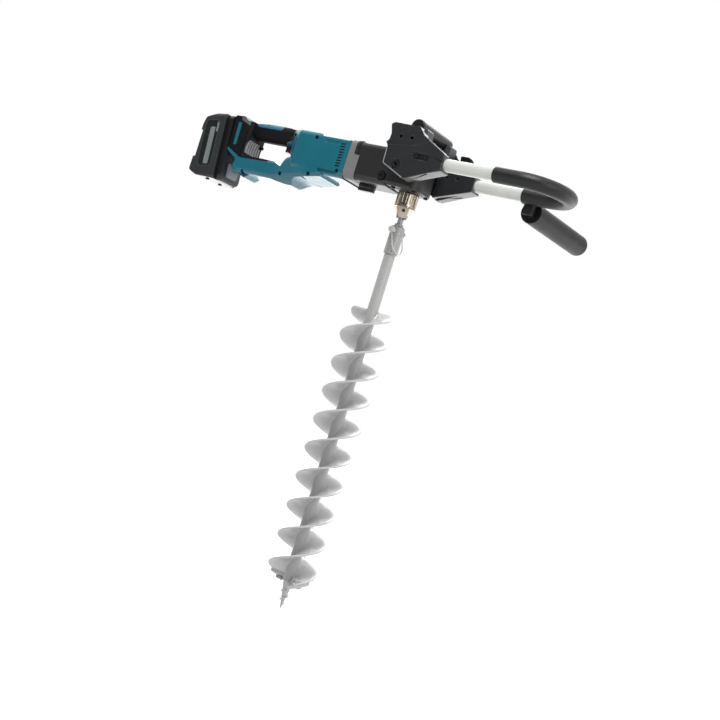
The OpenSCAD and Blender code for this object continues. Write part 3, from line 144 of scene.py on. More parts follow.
FINISHES: dict[str, Finish] = {
    "teal_plastic": Finish((8, 102, 120), 0.38, specular=0.4, coat=0.9, coat_roughness=0.10,
                           edge=(72, 158, 172), edge_amount=0.30),
    "grip_rubber": Finish((9, 10, 12), 0.62, specular=0.22, grain=1500.0, depth=0.25, pores=0.3,
                          edge=(46, 48, 50)),
    "foam_rubber": Finish((14, 15, 17), 0.50, specular=0.4, coat=0.30, coat_roughness=0.30, grain=1100.0,
                          depth=0.30, pores=0.8, edge=(58, 60, 64), edge_amount=0.08),
    "pad_rubber": Finish((11, 12, 14), 0.55, specular=0.25, coat=0.04, coat_roughness=0.30, grain=1100.0,
                         depth=0.30, pores=0.8, edge=(58, 60, 64), edge_amount=0.08),
    "black_plastic": Finish((16, 17, 19), 0.42, specular=0.4, coat=0.5, coat_roughness=0.16,
                            edge=(74, 76, 78)),
    "charcoal_plastic": Finish((40, 41, 44), 0.48, specular=0.4, coat=0.7, coat_roughness=0.16, grain=1300.0,
                               depth=0.14, edge=(110, 111, 114), edge_amount=0.25),
    "label_film": Finish((20, 24, 24), 0.30, specular=0.5, coat=0.4, depth=0.02, edge=(60, 66, 64)),
    "label_line": Finish((52, 78, 74), 0.35, coat=0.3, depth=0.02, edge=(80, 100, 96)),
    "label_plate": Finish((138, 142, 144), 0.40, metallic=0.35, depth=0.05, edge=(210, 212, 214),
                          stretch=(1.0, 1.0, 0.1)),
    "grey_plastic": Finish((118, 130, 136), 0.50, edge=(166, 174, 178)),
    "saddle_grey": Finish((92, 94, 101), 0.50, mottle=0.25, edge=(150, 150, 156), edge_amount=0.3),
    "pad_pale": Finish((146, 145, 150), 0.50, edge=(170, 170, 174)),
    "pad_dark": Finish((104, 104, 109), 0.60, edge=(130, 130, 134)),
    "fan_plastic": Finish((200, 200, 196), 0.5),
    "cell_wrap": Finish((60, 126, 170), 0.35, edge=(140, 180, 205)),
    "controller_alloy": Finish((170, 170, 172), 0.45, metallic=1.0, stretch=(0.1, 1.0, 1.0)),
    "contact_brass": Finish((214, 180, 104), 0.35, metallic=1.0),
    "windings": Finish((176, 104, 60), 0.40, metallic=0.8, stretch=(0.05, 1.0, 1.0)),
    "ring_alloy": Finish((128, 127, 125), 0.60, metallic=0.2, coat=0.4, grain=1800.0, depth=0.15,
                         edge=(176, 176, 174)),
    "case_alloy": Finish((32, 32, 34), 0.50, specular=0.35, coat=0.45, coat_roughness=0.28, grain=1400.0,
                         depth=0.14, edge=(120, 120, 120), edge_amount=0.2),
    # The holder's pale edge colour is a painted edge highlight.
    "holder_alloy": Finish((30, 33, 35), 0.46, specular=0.4, coat=0.8, coat_roughness=0.14, grain=1400.0,
                           depth=0.14, edge=(150, 152, 154), edge_amount=0.30),
    # Painted highlight: pale strip along the holder plates' edge.
    "painted_rim_highlight": Finish((176, 177, 179), 0.42, metallic=0.3, depth=0.05, edge=(206, 206, 206)),
    # Painted light: a lighter copy of the holder's dark alloy, for brackets that catch more light.
    "bracket_painted_lit": Finish((62, 65, 68), 0.50, specular=0.4, coat=0.4, grain=1400.0, depth=0.18,
                            edge=(140, 142, 144), edge_amount=0.3),
    # Black of small black parts, and painted shade in the vent slots and the bolt recesses.
    "black_and_painted_shade": Finish((10, 11, 12), 0.6, specular=0.3, edge=(32, 34, 36)),
    "gear_steel": Finish((150, 150, 152), 0.32, metallic=1.0),
    "bolt_steel": Finish((40, 41, 43), 0.42, metallic=0.6, edge=(120, 120, 120)),
    "tube_silver": Finish((210, 212, 207), 0.34, metallic=0.1, coat=0.4, edge=(235, 235, 232),
                          stretch=(0.1, 1.0, 1.0)),
    "bright_steel": Finish((166, 166, 165), 0.42, metallic=0.25, coat=0.3, depth=0.04, mottle=0.05,
                           edge=(210, 210, 208), stretch=(1.0, 1.0, 0.15)),
    "wire_steel": Finish((206, 206, 204), 0.40, metallic=0.3, depth=0.02, edge=(226, 226, 224)),
    "chuck_nickel": Finish((198, 184, 168), 0.22, metallic=1.0, grain=400.0, depth=0.015, mottle=0.04,
                           edge=(236, 228, 216), edge_amount=0.30, stretch=(1.0, 1.0, 0.15)),
    # Painted shade for the gaps between the chuck's teeth.
    "gap_shade_dark": Finish((16, 13, 11), 0.5, edge=(30, 26, 22)),
    "auger_grey": Finish((194, 194, 194), 0.42, coat=1.0, coat_roughness=0.06, depth=0.05, mottle=0.05,
                         edge=(230, 230, 230), edge_amount=0.35),
    "stem_grey": Finish((172, 172, 171), 0.42, coat=0.5, depth=0.05, mottle=0.05, edge=(214, 214, 214),
                        stretch=(1.0, 1.0, 0.15)),
    "weld_grey": Finish((186, 186, 186), 0.42, metallic=0.1, coat=0.6, grain=500.0, depth=0.3,
                        edge=(214, 214, 214)),
}


class SkinGroup:
    """Shader node group for drifting colour, lighter edges (wear and painted highlight), grain and pores."""

    NAME = "Worn skin and painted highlight"
    INPUTS = (("Colour", "Color"), ("Edge Colour", "Color"), ("Edge Amount", "Float"),
              ("Edge Radius", "Float"), ("Mottle", "Float"), ("Grain", "Float"), ("Pores", "Float"),
              ("Stretch", "Vector"), ("Roughness", "Float"))
    OUTPUTS = (("Colour", "Color"), ("Roughness", "Float"), ("Height", "Float"))
    DRIFT_SCALE = 22.0
    ROUGH_SWING = 1.2
    EDGE_SAMPLES = 4
    EDGE_FLAT = 0.995
    EDGE_WORN_AND_LIT = 0.85
    BREAKUP = (0.8, 0.6)

    def __init__(self) -> None:
        """Build the group once."""
        self.tree = bpy.data.node_groups.new(self.NAME, "ShaderNodeTree")
        for in_out, sockets in (("INPUT", self.INPUTS), ("OUTPUT", self.OUTPUTS)):
            for name, kind in sockets:
                self.tree.interface.new_socket(name=name, in_out=in_out, socket_type=f"NodeSocket{kind}")
        self._nodes()

    def _nodes(self) -> None:
        """Wire the pattern: broad drift, edge mask, fine grain and pores."""
        tree = self.tree
        enter = tree.nodes.new("NodeGroupInput")
        leave = tree.nodes.new("NodeGroupOutput")
        place = tree.nodes.new("ShaderNodeTexCoord").outputs["Object"]
        stretched = self._vector_maths("MULTIPLY", place, enter.outputs["Stretch"])
        drift = self._texture("ShaderNodeTexNoise", place, self.DRIFT_SCALE, "Fac", 3.0)
        grain = self._texture("ShaderNodeTexNoise", stretched, enter.outputs["Grain"], "Fac", 2.0)
        cells = self._texture("ShaderNodeTexVoronoi", stretched, enter.outputs["Grain"], "Distance", 0.0)
        edge = self._edge_mask(enter.outputs["Edge Radius"], drift)
        swing = self._maths("SUBTRACT", drift, 0.5)
        swing = self._maths("MULTIPLY", swing, enter.outputs["Mottle"])
        bright = self._maths("MULTIPLY_ADD", swing, 2.0, 1.0)
        fleck = self._maths("MULTIPLY", self._maths("SUBTRACT", grain, 0.5), enter.outputs["Mottle"])
        bright = self._maths("ADD", bright, fleck)
        tone = tree.nodes.new("ShaderNodeVectorMath")
        tone.operation = "SCALE"
        tree.links.new(enter.outputs["Colour"], tone.inputs[0])
        tree.links.new(bright, tone.inputs["Scale"])
        # Lighter edge colour: part wear, part painted highlight.
        share = self._maths("MULTIPLY", edge, enter.outputs["Edge Amount"])
        mix = tree.nodes.new("ShaderNodeMix")
        mix.data_type = "RGBA"
        tree.links.new(share, mix.inputs["Factor"])
        tree.links.new(tone.outputs["Vector"], mix.inputs["A"])
        tree.links.new(enter.outputs["Edge Colour"], mix.inputs["B"])
        rough = self._maths("MULTIPLY_ADD", swing, self.ROUGH_SWING, enter.outputs["Roughness"])
        height = self._maths("MULTIPLY_ADD", cells, enter.outputs["Pores"], grain)
        tree.links.new(mix.outputs["Result"], leave.inputs["Colour"])
        tree.links.new(rough, leave.inputs["Roughness"])
        tree.links.new(height, leave.inputs["Height"])

    def _edge_mask(self, radius: Any, breakup: Any) -> Any:
        """Mask that is 1 on sharp edges, broken up by a noise, for wear and a painted edge highlight.

        Args:
            radius: socket with the width of the worn band in metres.
            breakup: noise socket that thins the band in places.

        Returns:
            The mask's socket.
        """
        tree = self.tree
        soft = tree.nodes.new("ShaderNodeBevel")
        soft.samples = self.EDGE_SAMPLES
        tree.links.new(radius, soft.inputs["Radius"])
        true = tree.nodes.new("ShaderNodeNewGeometry")
        agree = self._vector_maths("DOT_PRODUCT", soft.outputs["Normal"], true.outputs["Normal"], "Value")
        band = tree.nodes.new("ShaderNodeMapRange")
        band.inputs["From Min"].default_value = self.EDGE_FLAT
        band.inputs["From Max"].default_value = self.EDGE_WORN_AND_LIT
        tree.links.new(agree, band.inputs["Value"])
        thinned = self._maths("MULTIPLY_ADD", breakup, *self.BREAKUP)
        return self._maths("MULTIPLY", band.outputs["Result"], thinned)

    def _texture(self, kind: str, vector: Any, scale: Any, output: str, detail: float) -> Any:
        """Texture node on a vector socket.

        Args:
            kind: the node's type.
            vector: socket with the place.
            scale: number or socket with the texture's scale.
            output: name of the output that is wanted.
            detail: octaves of the texture.

        Returns:
            The output socket.
        """
        node = self.tree.nodes.new(kind)
        node.inputs["Detail"].default_value = detail
        self.tree.links.new(vector, node.inputs["Vector"])
        if isinstance(scale, float):
            node.inputs["Scale"].default_value = scale
        else:
            self.tree.links.new(scale, node.inputs["Scale"])
        return node.outputs[output]

    def _maths(self, operation: str, *values: Any) -> Any:
        """Math node on sockets or numbers, as its output socket."""
        node = self.tree.nodes.new("ShaderNodeMath")
        node.operation = operation
        for value, socket in zip(values, node.inputs):
            if isinstance(value, (int, float)):
                socket.default_value = value
            else:
                self.tree.links.new(value, socket)
        return node.outputs[0]

    def _vector_maths(self, operation: str, first: Any, second: Any, output: str = "Vector") -> Any:
        """Vector math node on two sockets, as one of its output sockets."""
        node = self.tree.nodes.new("ShaderNodeVectorMath")
        node.operation = operation
        self.tree.links.new(first, node.inputs[0])
        self.tree.links.new(second, node.inputs[1])
        return node.outputs[output]


class Paintshop:
    """Makes one material for each finish."""

    BUMP_DISTANCE = 0.0004

    def __init__(self) -> None:
        """Start with the shared node group and no materials."""
        self.group = SkinGroup()
        self.made: dict[str, bpy.types.Material] = {}

    def material(self, name: str) -> bpy.types.Material:
        """Material of a named finish, built at its first use.

        Args:
            name: key in FINISHES.

        Returns:
            The material.
        """
        if name not in self.made:
            self.made[name] = self._build(name, FINISHES[name])
        return self.made[name]

    def _build(self, name: str, finish: Finish) -> bpy.types.Material:
        """Wire a Principled shader to the shared group with a finish's own values."""
        material = bpy.data.materials.new(name)
        material.use_nodes = True
        tree = material.node_tree
        shader = tree.nodes["Principled BSDF"]
        skin = tree.nodes.new("ShaderNodeGroup")
        skin.node_tree = self.group.tree
        for socket, value in (("Colour", linear(finish.colour)), ("Edge Colour", linear(finish.edge)),
                              ("Edge Amount", finish.edge_amount), ("Edge Radius", finish.edge_radius),
                              ("Mottle", finish.mottle), ("Grain", finish.grain), ("Pores", finish.pores),
                              ("Stretch", finish.stretch), ("Roughness", finish.roughness)):
            skin.inputs[socket].default_value = value
        bump = tree.nodes.new("ShaderNodeBump")
        bump.inputs["Strength"].default_value = finish.depth
        bump.inputs["Distance"].default_value = self.BUMP_DISTANCE
        shader.inputs["Metallic"].default_value = finish.metallic
        shader.inputs["Specular IOR Level"].default_value = finish.specular
        shader.inputs["Coat Weight"].default_value = finish.coat
        shader.inputs["Coat Roughness"].default_value = finish.coat_roughness
        tree.links.new(skin.outputs["Colour"], shader.inputs["Base Color"])
        tree.links.new(skin.outputs["Roughness"], shader.inputs["Roughness"])
        tree.links.new(skin.outputs["Height"], bump.inputs["Height"])
        tree.links.new(bump.outputs["Normal"], shader.inputs["Normal"])
        return material


def block(low: Point, high: Point) -> BMesh:
    """Box between two corners.

    Args:
        low: lowest corner.
        high: highest corner.

    Returns:
        The new bmesh.
    """
    shape = bmesh.new()
    bmesh.ops.create_cube(shape, size=1.0)
    bmesh.ops.scale(shape, vec=Vector(high) - Vector(low), verts=shape.verts)
    bmesh.ops.translate(shape, vec=(Vector(high) + Vector(low)) / 2.0, verts=shape.verts)
    return shape


def slab(corners: Sequence[Spot], low: float, high: float, radius: float = 0.0) -> BMesh:
    """Plate with an outline in X and Z that reaches from low to high in Y.

    Args:
        corners: the outline's corners.
        low: lowest Y.
        high: highest Y.
        radius: rounding of the corners.

    Returns:
        The new bmesh.
    """
    shape = bmesh.new()
    verts = [shape.verts.new((x, low, z)) for x, z in corners]
    shape.faces.new(verts)
    if radius > 0.0:
        bmesh.ops.bevel(shape, geom=verts, offset=radius, offset_type="OFFSET", affect="VERTICES", segments=6,
                        profile=0.5, material=-1)
    grown = bmesh.ops.extrude_face_region(shape, geom=shape.faces[:])
    moved = [item for item in grown["geom"] if isinstance(item, BMVert)]
    bmesh.ops.translate(shape, vec=(0.0, high - low, 0.0), verts=moved)
    bmesh.ops.recalc_face_normals(shape, faces=shape.faces)
    return shape


def rectangle(x0: float, x1: float, z0: float, z1: float) -> list[Spot]:
    """Corners of an upright rectangle in X and Z."""
    return [(x0, z0), (x1, z0), (x1, z1), (x0, z1)]


def lathe(profile: Sequence[Spot], place: Point, along: Along, steps: int = 72) -> BMesh:
    """Turned shape.

    Args:
        profile: radius and height of each point, from one end of the axis to the other.
        place: where the axis has height zero.
        along: direction of the axis.
        steps: faces around the axis.

    Returns:
        The new bmesh.
    """
    shape = bmesh.new()
    axis = Vector(along.value)
    out = Vector((axis.y, axis.z, axis.x))
    verts = [shape.verts.new(Vector(place) + out * radius + axis * height) for radius, height in profile]
    edges = [shape.edges.new(pair) for pair in zip(verts, verts[1:])]
    bmesh.ops.spin(shape, geom=verts + edges, cent=place, axis=axis, angle=2.0 * math.pi, steps=steps,
                   use_merge=True)
    bmesh.ops.remove_doubles(shape, verts=shape.verts, dist=0.001)
    bmesh.ops.recalc_face_normals(shape, faces=shape.faces)
    return shape


def bearing(degrees: float) -> Vector:
    """Level direction at an angle from X."""
    return Vector((math.cos(math.radians(degrees)), math.sin(math.radians(degrees)), 0.0))


def coil(section: Sequence[Spot], start: float, top: float, turns: float, lead: float) -> BMesh:
    """Solid swept down a helix around the spindle axis, turning clockwise seen from above.

    Args:
        section: radius and height of each corner of the section.
        start: direction of the first section in degrees.
        top: height of the helix's start.
        turns: number of turns.
        lead: drop in one turn.

    Returns:
        The new bmesh.
    """
    shape = bmesh.new()
    count = max(1, round(turns * COIL_STEPS))
    out = bearing(start)
    verts = [shape.verts.new(out * radius + Vector((0.0, 0.0, top + height))) for radius, height in section]
    face = shape.faces.new(verts)
    bmesh.ops.spin(shape, geom=[face, *face.edges, *verts], cent=(0.0, 0.0, 0.0), axis=(0.0, 0.0, -1.0),
                   dvec=(0.0, 0.0, -turns * lead / count), angle=turns * 2.0 * math.pi, steps=count)
    bmesh.ops.recalc_face_normals(shape, faces=shape.faces)
    return shape


def gather(*shapes: BMesh) -> BMesh:
    """Put several shapes into the first of them and free the rest."""
    first, *rest = shapes
    for other in rest:
        mesh = bpy.data.meshes.new("gathered")
        other.to_mesh(mesh)
        first.from_mesh(mesh)
        bpy.data.meshes.remove(mesh)
        other.free()
    return first


def swell(centre: Spot, growth: float) -> Matrix:
    """Growth in Y and Z about a line along X through centre."""
    middle = Vector((0.0, *centre))
    growing = Matrix.Diagonal((1.0, growth, growth, 1.0))
    return Matrix.Translation(middle) @ growing @ Matrix.Translation(-middle)


def hose(stations: Sequence[tuple[Matrix, float]]) -> BMesh:
    """Round bar through stations, closed at both ends.

    Args:
        stations: frame, with the bar along its Z, and radius of each ring.

    Returns:
        The new bmesh.
    """
    shape = bmesh.new()
    before = stations[0][0] @ Matrix.Scale(stations[0][1], 4)
    ring = bmesh.ops.create_circle(shape, cap_ends=True, segments=HOSE_SIDES, radius=1.0,
                                   matrix=before)["verts"]
    face = ring[0].link_faces[0]
    for frame, radius in stations[1:]:
        grown = bmesh.ops.extrude_face_region(shape, geom=[face])["geom"]
        bmesh.ops.delete(shape, geom=[face], context="FACES_ONLY")
        face = next(item for item in grown if isinstance(item, BMFace))
        after = frame @ Matrix.Scale(radius, 4)
        bmesh.ops.transform(shape, matrix=after @ before.inverted(), verts=face.verts)
        before = after
    bmesh.ops.holes_fill(shape, edges=[edge for edge in shape.edges if edge.is_boundary])
    bmesh.ops.recalc_face_normals(shape, faces=shape.faces)
    return shape


def spot_key(spot: Vector) -> Point:
    """Place of a point to the hundredth of a millimetre."""
    return (round(spot[0], 2), round(spot[1], 2), round(spot[2], 2))


def both_sides(shape: BMesh) -> BMesh:
    """Add the mirror image of a shape on the tool's other side."""
    bmesh.ops.mirror(shape, geom=[*shape.verts, *shape.edges, *shape.faces], matrix=Matrix(), merge_dist=-1.0,
                     axis="Y")
    bmesh.ops.recalc_face_normals(shape, faces=shape.faces)
    return shape


def combine(base: BMesh, tool: BMesh, how: Cut) -> BMesh:
    """Cut one closed shape with another, or keep what they share; both are used up.

    Args:
        base: shape that is worked on.
        tool: shape that works on it.
        how: what is done.

    Returns:
        The resulting bmesh.
    """
    made = []
    for shape in (base, tool):
        mesh = bpy.data.meshes.new("working")
        shape.to_mesh(mesh)
        shape.free()
        made.append(bpy.data.objects.new("working", mesh))
        bpy.context.scene.collection.objects.link(made[-1])
    modifier = made[0].modifiers.new("cut", "BOOLEAN")
    modifier.solver = "EXACT"
    modifier.operation = how.value
    modifier.object = made[1]
    graph = bpy.context.evaluated_depsgraph_get()
    done = bpy.data.meshes.new_from_object(made[0].evaluated_get(graph))
    result = bmesh.new()
    result.from_mesh(done)
    bpy.data.meshes.remove(done)
    for item in made:
        mesh = item.data
        bpy.data.objects.remove(item)
        bpy.data.meshes.remove(mesh)
    return result


class Bench:
    """Turns bmeshes and CAD nodes into dressed pieces of the frame.

    SHARES are the parts of an edge rounding that are tried in turn, until less than FAULT square millimetres
    lie off the old surface. STRAY and LIFT bound a moved corner, NARROW and LONG find faces too narrow to
    round, and OFF and SLACK say what lies off the surface.
    """

    MERGE = 0.002
    FLAT = math.radians(0.6)
    SHARP = math.radians(28.0)
    SHADE = math.radians(32.0)
    SHARES = (1.0, 0.8, 0.65, 0.5, 0.35, 0.2)
    FAULT = 4.0
    STRAY = 3.0
    LIFT = 0.75
    NARROW = 1.6
    LONG = 0.3
    OFF = 0.7
    SLACK = 0.15

    def __init__(self, frame: dict[str, Any]) -> None:
        """Read the frame's nodes, bodies and slots.
        """
        self.nodes: dict[str, bpy.types.Object] = frame["nodes"]
        bodies = frame["record"]["behaviour"]["bodies"]
        self.body = {node: body for body, members in bodies.items() for node in members}
        self.slot = {part["node"]: part["material_slot"] for part in frame["record"]["subparts"]}
        self.paint = Paintshop()

    def dress(self, *names: str) -> None:
        """Give CAD nodes that stay on show the material of their slot."""
        for name in names:
            node = self.nodes[name]
            node.data.materials.clear()
            node.data.materials.append(self.paint.material(self.slot[name]))
            LOG.info("dressed %s", name)

    def copy(self, name: str) -> BMesh:
        """Closed copy of a CAD node in millimetres, with flat areas as single faces.

        Args:
            name: the CAD node.

        Returns:
            The new bmesh.
        """
        shape = bmesh.new()
        shape.from_mesh(self.nodes[name].data)
        bmesh.ops.scale(shape, vec=Vector((1.0, 1.0, 1.0)) / MM, verts=shape.verts)
        bmesh.ops.remove_doubles(shape, verts=shape.verts, dist=self.MERGE)
        bmesh.ops.dissolve_limit(shape, angle_limit=self.FLAT, use_dissolve_boundaries=False,
                                 verts=shape.verts, edges=shape.edges)
        return shape

    def patch(self, name: str, window: BMesh, shift: Matrix) -> BMesh:
        """Layer on a CAD node's surface, within a window.

        Args:
            name: the CAD node.
            window: closed shape that bounds the layer, which is used up.
            shift: move that makes the layer stand proud.

        Returns:
            The new bmesh.
        """
        layer = combine(self.copy(name), window, Cut.KEEP)
        bmesh.ops.transform(layer, matrix=shift, verts=layer.verts)
        bmesh.ops.recalc_face_normals(layer, faces=layer.faces)
        return layer

    def soften(self, shape: BMesh, width: float, segments: int = 2) -> BMesh:
        """Round the sharp edges of a shape, less widely where the full width doesn't fit.

        Args:
            shape: mesh in millimetres, which is used up.
            width: width of the rounding.
            segments: faces across the rounding.

        Returns:
            The rounded bmesh.
        """
        surface = BVHTree.FromBMesh(shape)
        best, least = None, math.inf
        for share in self.SHARES:
            trial = self._rounded(shape, surface, share * width, segments)
            fault = self._fault(trial, surface, share * width)
            if fault < least:
                best, trial, least = trial, best, fault
            if trial is not None:
                trial.free()
            if least < self.FAULT:
                break
        shape.free()
        return best

    def _rounded(self, shape: BMesh, surface: BVHTree, width: float, segments: int) -> BMesh:
        """Rounded copy of a shape, with the corners left sharp where rounding would stray.

        Args:
            shape: mesh in millimetres.
            surface: its surface.
            width: width of the rounding.
            segments: faces across the rounding.

        Returns:
            The new bmesh.
        """
        left_sharp: set[Point] = set()
        while True:
            trial = shape.copy()
            home = trial.verts.layers.float_vector.new("home")
            for vert in trial.verts:
                vert[home] = vert.co
            edges = [edge for edge in trial.edges if self._roundable(edge, width)
                     and not any(spot_key(vert.co) in left_sharp for vert in edge.verts)]
            bmesh.ops.bevel(trial, geom=edges, offset=width, offset_type="OFFSET", affect="EDGES",
                            segments=segments, profile=0.5, clamp_overlap=False, loop_slide=True, material=-1)
            stray = {spot_key(vert[home]) for vert in trial.verts
                     if (vert.co - vert[home]).length > self.STRAY * width
                     or surface.find_nearest(vert.co)[3] > self.LIFT * width}
            trial.verts.layers.float_vector.remove(home)
            if stray <= left_sharp:
                return trial
            left_sharp |= stray
            trial.free()

    def _roundable(self, edge: BMEdge, width: float) -> bool:
        """Whether an edge is sharp and isn't the long side of a face too narrow to round."""
        if len(edge.link_faces) != 2 or edge.calc_face_angle(0.0) < self.SHARP:
            return False
        for face in edge.link_faces:
            around = face.calc_perimeter()
            narrow = 2.0 * face.calc_area() < self.NARROW * width * around
            if narrow and edge.calc_length() > self.LONG * around:
                return False
        return True

    def _fault(self, shape: BMesh, surface: BVHTree, width: float) -> float:
        """Area of a rounded shape's triangles that lie off the old surface."""
        test = shape.copy()
        bmesh.ops.triangulate(test, faces=test.faces)
        area = sum(face.calc_area() for face in test.faces
                   if surface.find_nearest(face.calc_center_median())[3] > self.OFF * width + self.SLACK)
        test.free()
        return area

    def piece(self, name: str, shape: BMesh, body: str, finish: str,
              slot: str | None = None) -> bpy.types.Object:
        """Make a piece that rides on a body.

        Args:
            name: the piece's name.
            shape: its mesh in millimetres, which is used up.
            body: CAD body it moves with.
            finish: key in FINISHES.
            slot: the record's slot, if it isn't the finish's own name; not used.

        Returns:
            The new object.
        """
        bmesh.ops.scale(shape, vec=(MM, MM, MM), verts=shape.verts)
        mesh = bpy.data.meshes.new(name)
        shape.to_mesh(mesh)
        shape.free()
        mesh.shade_smooth()
        mesh.set_sharp_from_angle(angle=self.SHADE)
        mesh.materials.append(self.paint.material(finish))
        made = bpy.data.objects.new(name, mesh)
        bpy.context.scene.collection.objects.link(made)
        even = made.modifiers.new("even_shading", "WEIGHTED_NORMAL")
        even.keep_sharp = True
        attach(made, body)
        LOG.info("made %s with %d faces", name, len(mesh.polygons))
        return made

    def stand_in(self, node: str, shape: BMesh, finish: str | None = None) -> None:
        """Piece that stands for a CAD node.

        Args:
            node: the CAD node.
            shape: its mesh in millimetres, which is used up.
            finish: key in FINISHES, if it isn't the node's slot.
        """
        slot = self.slot[node]
        made = self.piece(f"{node}_shell", shape, self.body[node], finish or slot, slot)
        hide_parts(node)

    def shell(self, node: str, width: float, segments: int = 2, finish: str | None = None) -> None:
        """Soft-edged copy that stands for a CAD node.

        Args:
            node: the CAD node.
            width: width of its edge rounding.
            segments: faces across the rounding.
            finish: key in FINISHES, if it isn't the node's slot.
        """
        self.stand_in(node, self.soften(self.copy(node), width, segments), finish)

    def shells(self, edges: Edges) -> None:
        """Soft-edged copies that stand for CAD nodes, each with its own rounding."""
        for node, width in edges:
            self.shell(node, width)


@dataclass
class Housing:
    """Teal motor and D-handle housing with its rubber skin, trigger and lever."""

    bench: Bench
    edges: Edges = (("grip_skin_right", 1.2), ("grip_skin_left", 1.2), ("trigger", 1.2),
                    ("reverse_lever", 1.0), ("rail_plate", 0.7))
    edge: float = 1.2
    fine_edge: float = 0.4
    front: float = -133.0
    rim_len: float = 6.0
    rim_edge: float = 0.5
    barrel_axis: Spot = (0.0, -8.0)
    grip_axis: Spot = (0.0, 21.0)
    growth: float = 1.02
    strip: Outline = ((-419.0, 27.5), (-411.0, 27.5), (-409.0, -19.5), (-416.7, -20.0))
    strip_reach: Spot = (30.0, 31.5)
    strip_round: float = 1.5
    inlay: Outline = ((-381.0, 29.0), (-372.0, 27.5), (-322.0, 28.5), (-319.0, 31.0), (-319.0, 44.0),
                      (-381.0, 44.0))
    inlay_reach: Spot = (3.0, 19.0)
    inlay_round: float = 1.0
    inlay_growth: float = 1.03
    screw_place: Point = (-357.0, 14.6, 33.5)
    screw_profile: Outline = ((0.0, -3.0), (2.6, -3.0), (2.6, 0.2), (2.1, 0.5), (1.9, -0.6), (0.0, -0.6))
    saddle: Outline = ((-414.0, 33.0), (-390.0, 24.0), (-390.0, 46.0), (-414.0, 46.0))
    saddle_reach: Spot = (0.0, 40.0)
    saddle_edge: float = 0.6
    vent_place: Point = (-150.5, 39.0, -24.5)
    vent_size: Point = (11.3, 6.0, 2.6)
    vent_count: int = 9
    vent_pitch: float = 5.6
    vent_tilt: float = -4.0
    pad: Outline = ((-396.0, -31.0), (-376.0, -31.0), (-376.0, -4.0), (-396.0, -4.0))
    pad_half: float = 24.0
    pad_proud: float = 0.7
    rib_pitch: float = 8.0
    rib_wide: float = 4.0
    rib_proud: float = 1.6
    stud_place: Point = (-383.0, 20.0, -8.0)
    stud_profile: Outline = ((0.0, -6.0), (3.0, -6.0), (3.4, 0.0), (3.4, 2.6), (2.6, 3.6), (0.0, 3.8))
    under: Outline = ((-255.0, -95.0), (-255.0, -74.0), (-251.0, -66.0), (-244.0, -61.5), (-232.0, -59.0),
                      (-214.0, -56.0), (-190.0, -51.0), (-140.0, -47.0), (-140.0, -95.0))
    keel: Outline = ((-42.0, -44.0), (-38.5, -53.0), (-33.0, -61.5), (-25.0, -69.5), (-16.0, -75.5),
                     (-8.0, -79.0), (-8.0, -99.0), (-60.0, -99.0), (-60.0, -44.0))
    keel_start: Point = (-348.0, -10.0, -10.0)
    keel_full: float = -292.0
    keel_end: float = -226.0

    def build(self) -> None:
        """Make and dress the whole sub-assembly."""
        for node in ("housing_right", "housing_left"):
            self._half(node)
        self.bench.shells(self.edges)
        self.bench.dress("housing_screws")
        self._front_rim()
        self._rear_strips()
        self._grip_inlay()
        self._saddle()
        self._pad()
        self._vent_shade_blocks()

    def _half(self, node: str) -> None:
        """One half of the housing, hollowed under the barrel and rounded under the foot."""
        shape = combine(self.bench.copy(node), slab(self.under, -FAR, FAR), Cut.TAKE)
        shape = combine(shape, both_sides(self._keel_cut()), Cut.TAKE)
        self.bench.stand_in(node, self.bench.soften(shape, self.edge))

    def _keel_cut(self) -> BMesh:
        """What the foot's rounding takes away on the right, growing from nothing to its full depth."""
        shape = bmesh.new()
        start = Vector(self.keel_start)
        face = shape.faces.new([shape.verts.new(start + Vector((0.0, y, z))) for y, z in self.keel])
        for step in (Vector((self.keel_full, 0.0, 0.0)) - start,
                     Vector((self.keel_end - self.keel_full, 0.0, 0.0))):
            grown = bmesh.ops.extrude_face_region(shape, geom=[face])["geom"]
            face = next(item for item in grown if isinstance(item, BMFace))
            bmesh.ops.translate(shape, vec=step, verts=face.verts)
        inner = [item for item in shape.faces
                 if len(item.edges) > 4 and abs(item.calc_center_median().x - self.keel_full) < 0.1]
        bmesh.ops.delete(shape, geom=inner, context="FACES_ONLY")
        bmesh.ops.recalc_face_normals(shape, faces=shape.faces)
        return shape

    def _layer(self, part: str, outline: Sequence[Spot], reach: Spot, shift: Matrix,
               radius: float = 0.0) -> BMesh:
        """Layer on both halves of a part, within an outline.

        Args:
            part: name of the two CAD nodes, less the side.
            outline: corners in X and Z that bound the layer.
            reach: how far from the middle it starts and ends.
            shift: move that makes the layer stand proud.
            radius: rounding of the outline's corners.

        Returns:
            The new bmesh.
        """
        near, far = reach
        right = self.bench.patch(f"{part}_right", slab(outline, -far, -near, radius), shift)
        left = self.bench.patch(f"{part}_left", slab(outline, near, far, radius), shift)
        return gather(right, left)

    def _vent_shade_blocks(self) -> None:
        """Dark block in each vent slot, a little below the flank: painted shade of the slot's inside."""
        x, flank, z = self.vent_place
        tilt = Matrix.Rotation(math.radians(self.vent_tilt), 4, "Y")
        half = Vector(self.vent_size) / 2.0
        shade_blocks = []
        for i in range(self.vent_count):
            shade_block = block(tuple(-half), tuple(half))
            place = Matrix.Translation((x, flank - half.y, z + i * self.vent_pitch))
            bmesh.ops.transform(shade_block, matrix=place @ tilt, verts=shade_block.verts)
            shade_blocks.append(shade_block)
        self.bench.piece("vent_shade_blocks", both_sides(gather(*shade_blocks)), BODY, "black_and_painted_shade", "black_plastic")

